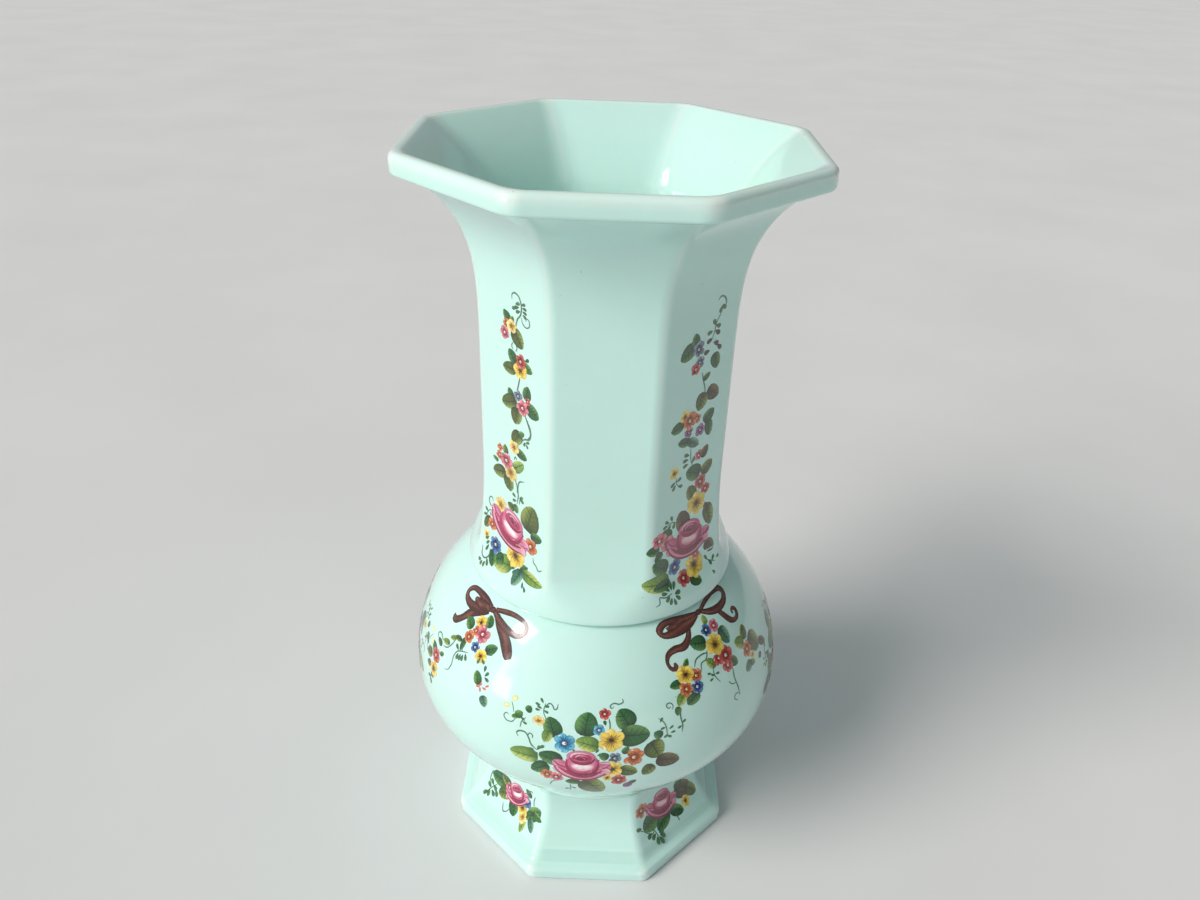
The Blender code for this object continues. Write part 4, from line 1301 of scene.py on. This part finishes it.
for seed, (name, motif, section, turn, stretch, swaps) in enumerate(ROUND_VASE):
    brush = Painting(name, Canvas(section, turn), 11 + seed, stretch, swaps)
    motif(brush)
    brush.finish()


# ---------------------------------------------------------------- floor, light and camera, in metres
FLOOR_REACH = 12.0
WINDOW_REACH = 1.25
# Name, degrees round from the front with the right positive, height, size, power and tint
WINDOWS = (
    ("upper_window", -62, 1.22, (0.30, 0.38), 5.0, (1.0, 0.99, 0.97)),
    ("window_side", -56, 0.52, (0.12, 0.30), 0.35, (0.96, 0.99, 1.0)),
    ("lower_window", -54, 0.18, (0.24, 0.34), 0.9, (1.0, 0.98, 0.95)),
)
WINDOW_SIDE = (0.83, 0.89, 0.90, 1)
DARK_SIDE = (0.25, 0.25, 0.245, 1)
DAYLIGHT = 0.62

# The camera as fitted to the vase's outline in the photograph, for a film 36 mm wide
CAMERA_BACK = 0.2816
CAMERA_HEIGHT = 0.3204
CAMERA_PITCH = math.radians(30.15)
CAMERA_YAW = math.radians(-0.21)
CAMERA_ROLL = math.radians(1.98)
LENS_MM = 28.72


def add_floor():
    """A wide pale surface, slightly uneven in tone."""
    nodes = Nodes("pale_floor")
    tone = nodes.spread(nodes.noise(160, 3), 0.3, 0.7, 0.0, 1.0)
    shades = nodes.mix(tone, linear(217, 222, 223), linear(222, 227, 228))
    nodes.link(shades, nodes.shader.inputs["Base Color"])
    nodes.fixed(Roughness=0.75, Specular_IOR_Level=0.05)
    mesh = bpy.data.meshes.new("floor")
    corners = [(x * FLOOR_REACH, y * FLOOR_REACH, 0) for x, y in ((-1, -1), (1, -1), (1, 1), (-1, 1))]
    mesh.from_pydata(corners, [], [(0, 1, 2, 3)])
    mesh.materials.append(nodes.material)
    floor = bpy.data.objects.new("floor", mesh)
    bpy.context.scene.collection.objects.link(floor)


def add_window(name, turn, height, size, power, tint):
    """A bright pane that the glaze mirrors, and that lights nothing else."""
    lamp = bpy.data.lights.new(name, "AREA")
    lamp.shape = "RECTANGLE"
    lamp.size, lamp.size_y = size
    lamp.energy = power
    lamp.color = tint
    light = bpy.data.objects.new(name, lamp)
    angle = math.radians(turn - 90)
    light.location = (WINDOW_REACH * math.cos(angle), WINDOW_REACH * math.sin(angle), height)
    light.visible_camera = False
    light.visible_diffuse = False
    aim = Vector((0, 0, HEIGHT * MM * 0.5)) - light.location
    light.rotation_euler = aim.to_track_quat("-Z", "Y").to_euler()
    bpy.context.scene.collection.objects.link(light)


def add_sun(name, turn, elevation, spread, strength, tint):
    """Broad soft daylight from a direction, in degrees round from the front and up from level. It isn't
    mirrored in the glaze: the windows are."""
    lamp = bpy.data.lights.new(name, "SUN")
    lamp.energy = strength
    lamp.angle = math.radians(spread)
    lamp.color = tint
    light = bpy.data.objects.new(name, lamp)
    angle, rise = math.radians(turn - 90), math.radians(elevation)
    source = Vector((math.cos(angle) * math.cos(rise), math.sin(angle) * math.cos(rise), math.sin(rise)))
    light.rotation_euler = source.to_track_quat("Z", "Y").to_euler()
    light.visible_glossy = False
    bpy.context.scene.collection.objects.link(light)


def add_world():
    """Even daylight, brighter on the window's side than on the right."""
    world = bpy.data.worlds.new("room")
    world.use_nodes = True
    tree = world.node_tree
    direction = tree.nodes.new("ShaderNodeTexCoord").outputs["Generated"]
    split = tree.nodes.new("ShaderNodeSeparateXYZ")
    tree.links.new(direction, split.inputs[0])
    side = tree.nodes.new("ShaderNodeMapRange")
    for name, value in (("From Min", -0.9), ("From Max", 0.9), ("To Min", 0.0), ("To Max", 1.0)):
        side.inputs[name].default_value = value
    tree.links.new(split.outputs["X"], side.inputs["Value"])
    shades = tree.nodes.new("ShaderNodeMix")
    shades.data_type = "RGBA"
    shades.inputs[6].default_value = WINDOW_SIDE
    shades.inputs[7].default_value = DARK_SIDE
    tree.links.new(side.outputs["Result"], shades.inputs[0])
    background = tree.nodes["Background"]
    tree.links.new(shades.outputs[2], background.inputs["Color"])
    background.inputs["Strength"].default_value = DAYLIGHT
    bpy.context.scene.world = world


def add_camera():
    """The photograph's view: close, from a little above the lip, tilted down and rolled slightly."""
    ahead = math.cos(CAMERA_PITCH)
    forward = Vector((math.sin(CAMERA_YAW) * ahead, math.cos(CAMERA_YAW) * ahead, -math.sin(CAMERA_PITCH)))
    level = Vector((math.cos(CAMERA_YAW), -math.sin(CAMERA_YAW), 0))
    upright = level.cross(forward)
    right = math.cos(CAMERA_ROLL) * level + math.sin(CAMERA_ROLL) * upright
    up = math.cos(CAMERA_ROLL) * upright - math.sin(CAMERA_ROLL) * level
    data = bpy.data.cameras.new("camera")
    data.sensor_width = 36
    data.lens = LENS_MM
    data.clip_start = 0.01
    camera = bpy.data.objects.new("camera", data)
    turn = Matrix((right, up, -forward)).transposed().to_4x4()
    camera.matrix_world = Matrix.Translation((0, -CAMERA_BACK, CAMERA_HEIGHT)) @ turn
    bpy.context.scene.collection.objects.link(camera)
    bpy.context.scene.camera = camera


add_floor()
add_world()
add_sun("daylight", -58, 34, 32, 2.95, (1.0, 0.89, 0.845))
for window in WINDOWS:
    add_window(*window)
add_camera()
bpy.context.scene.view_settings.view_transform = "Standard"
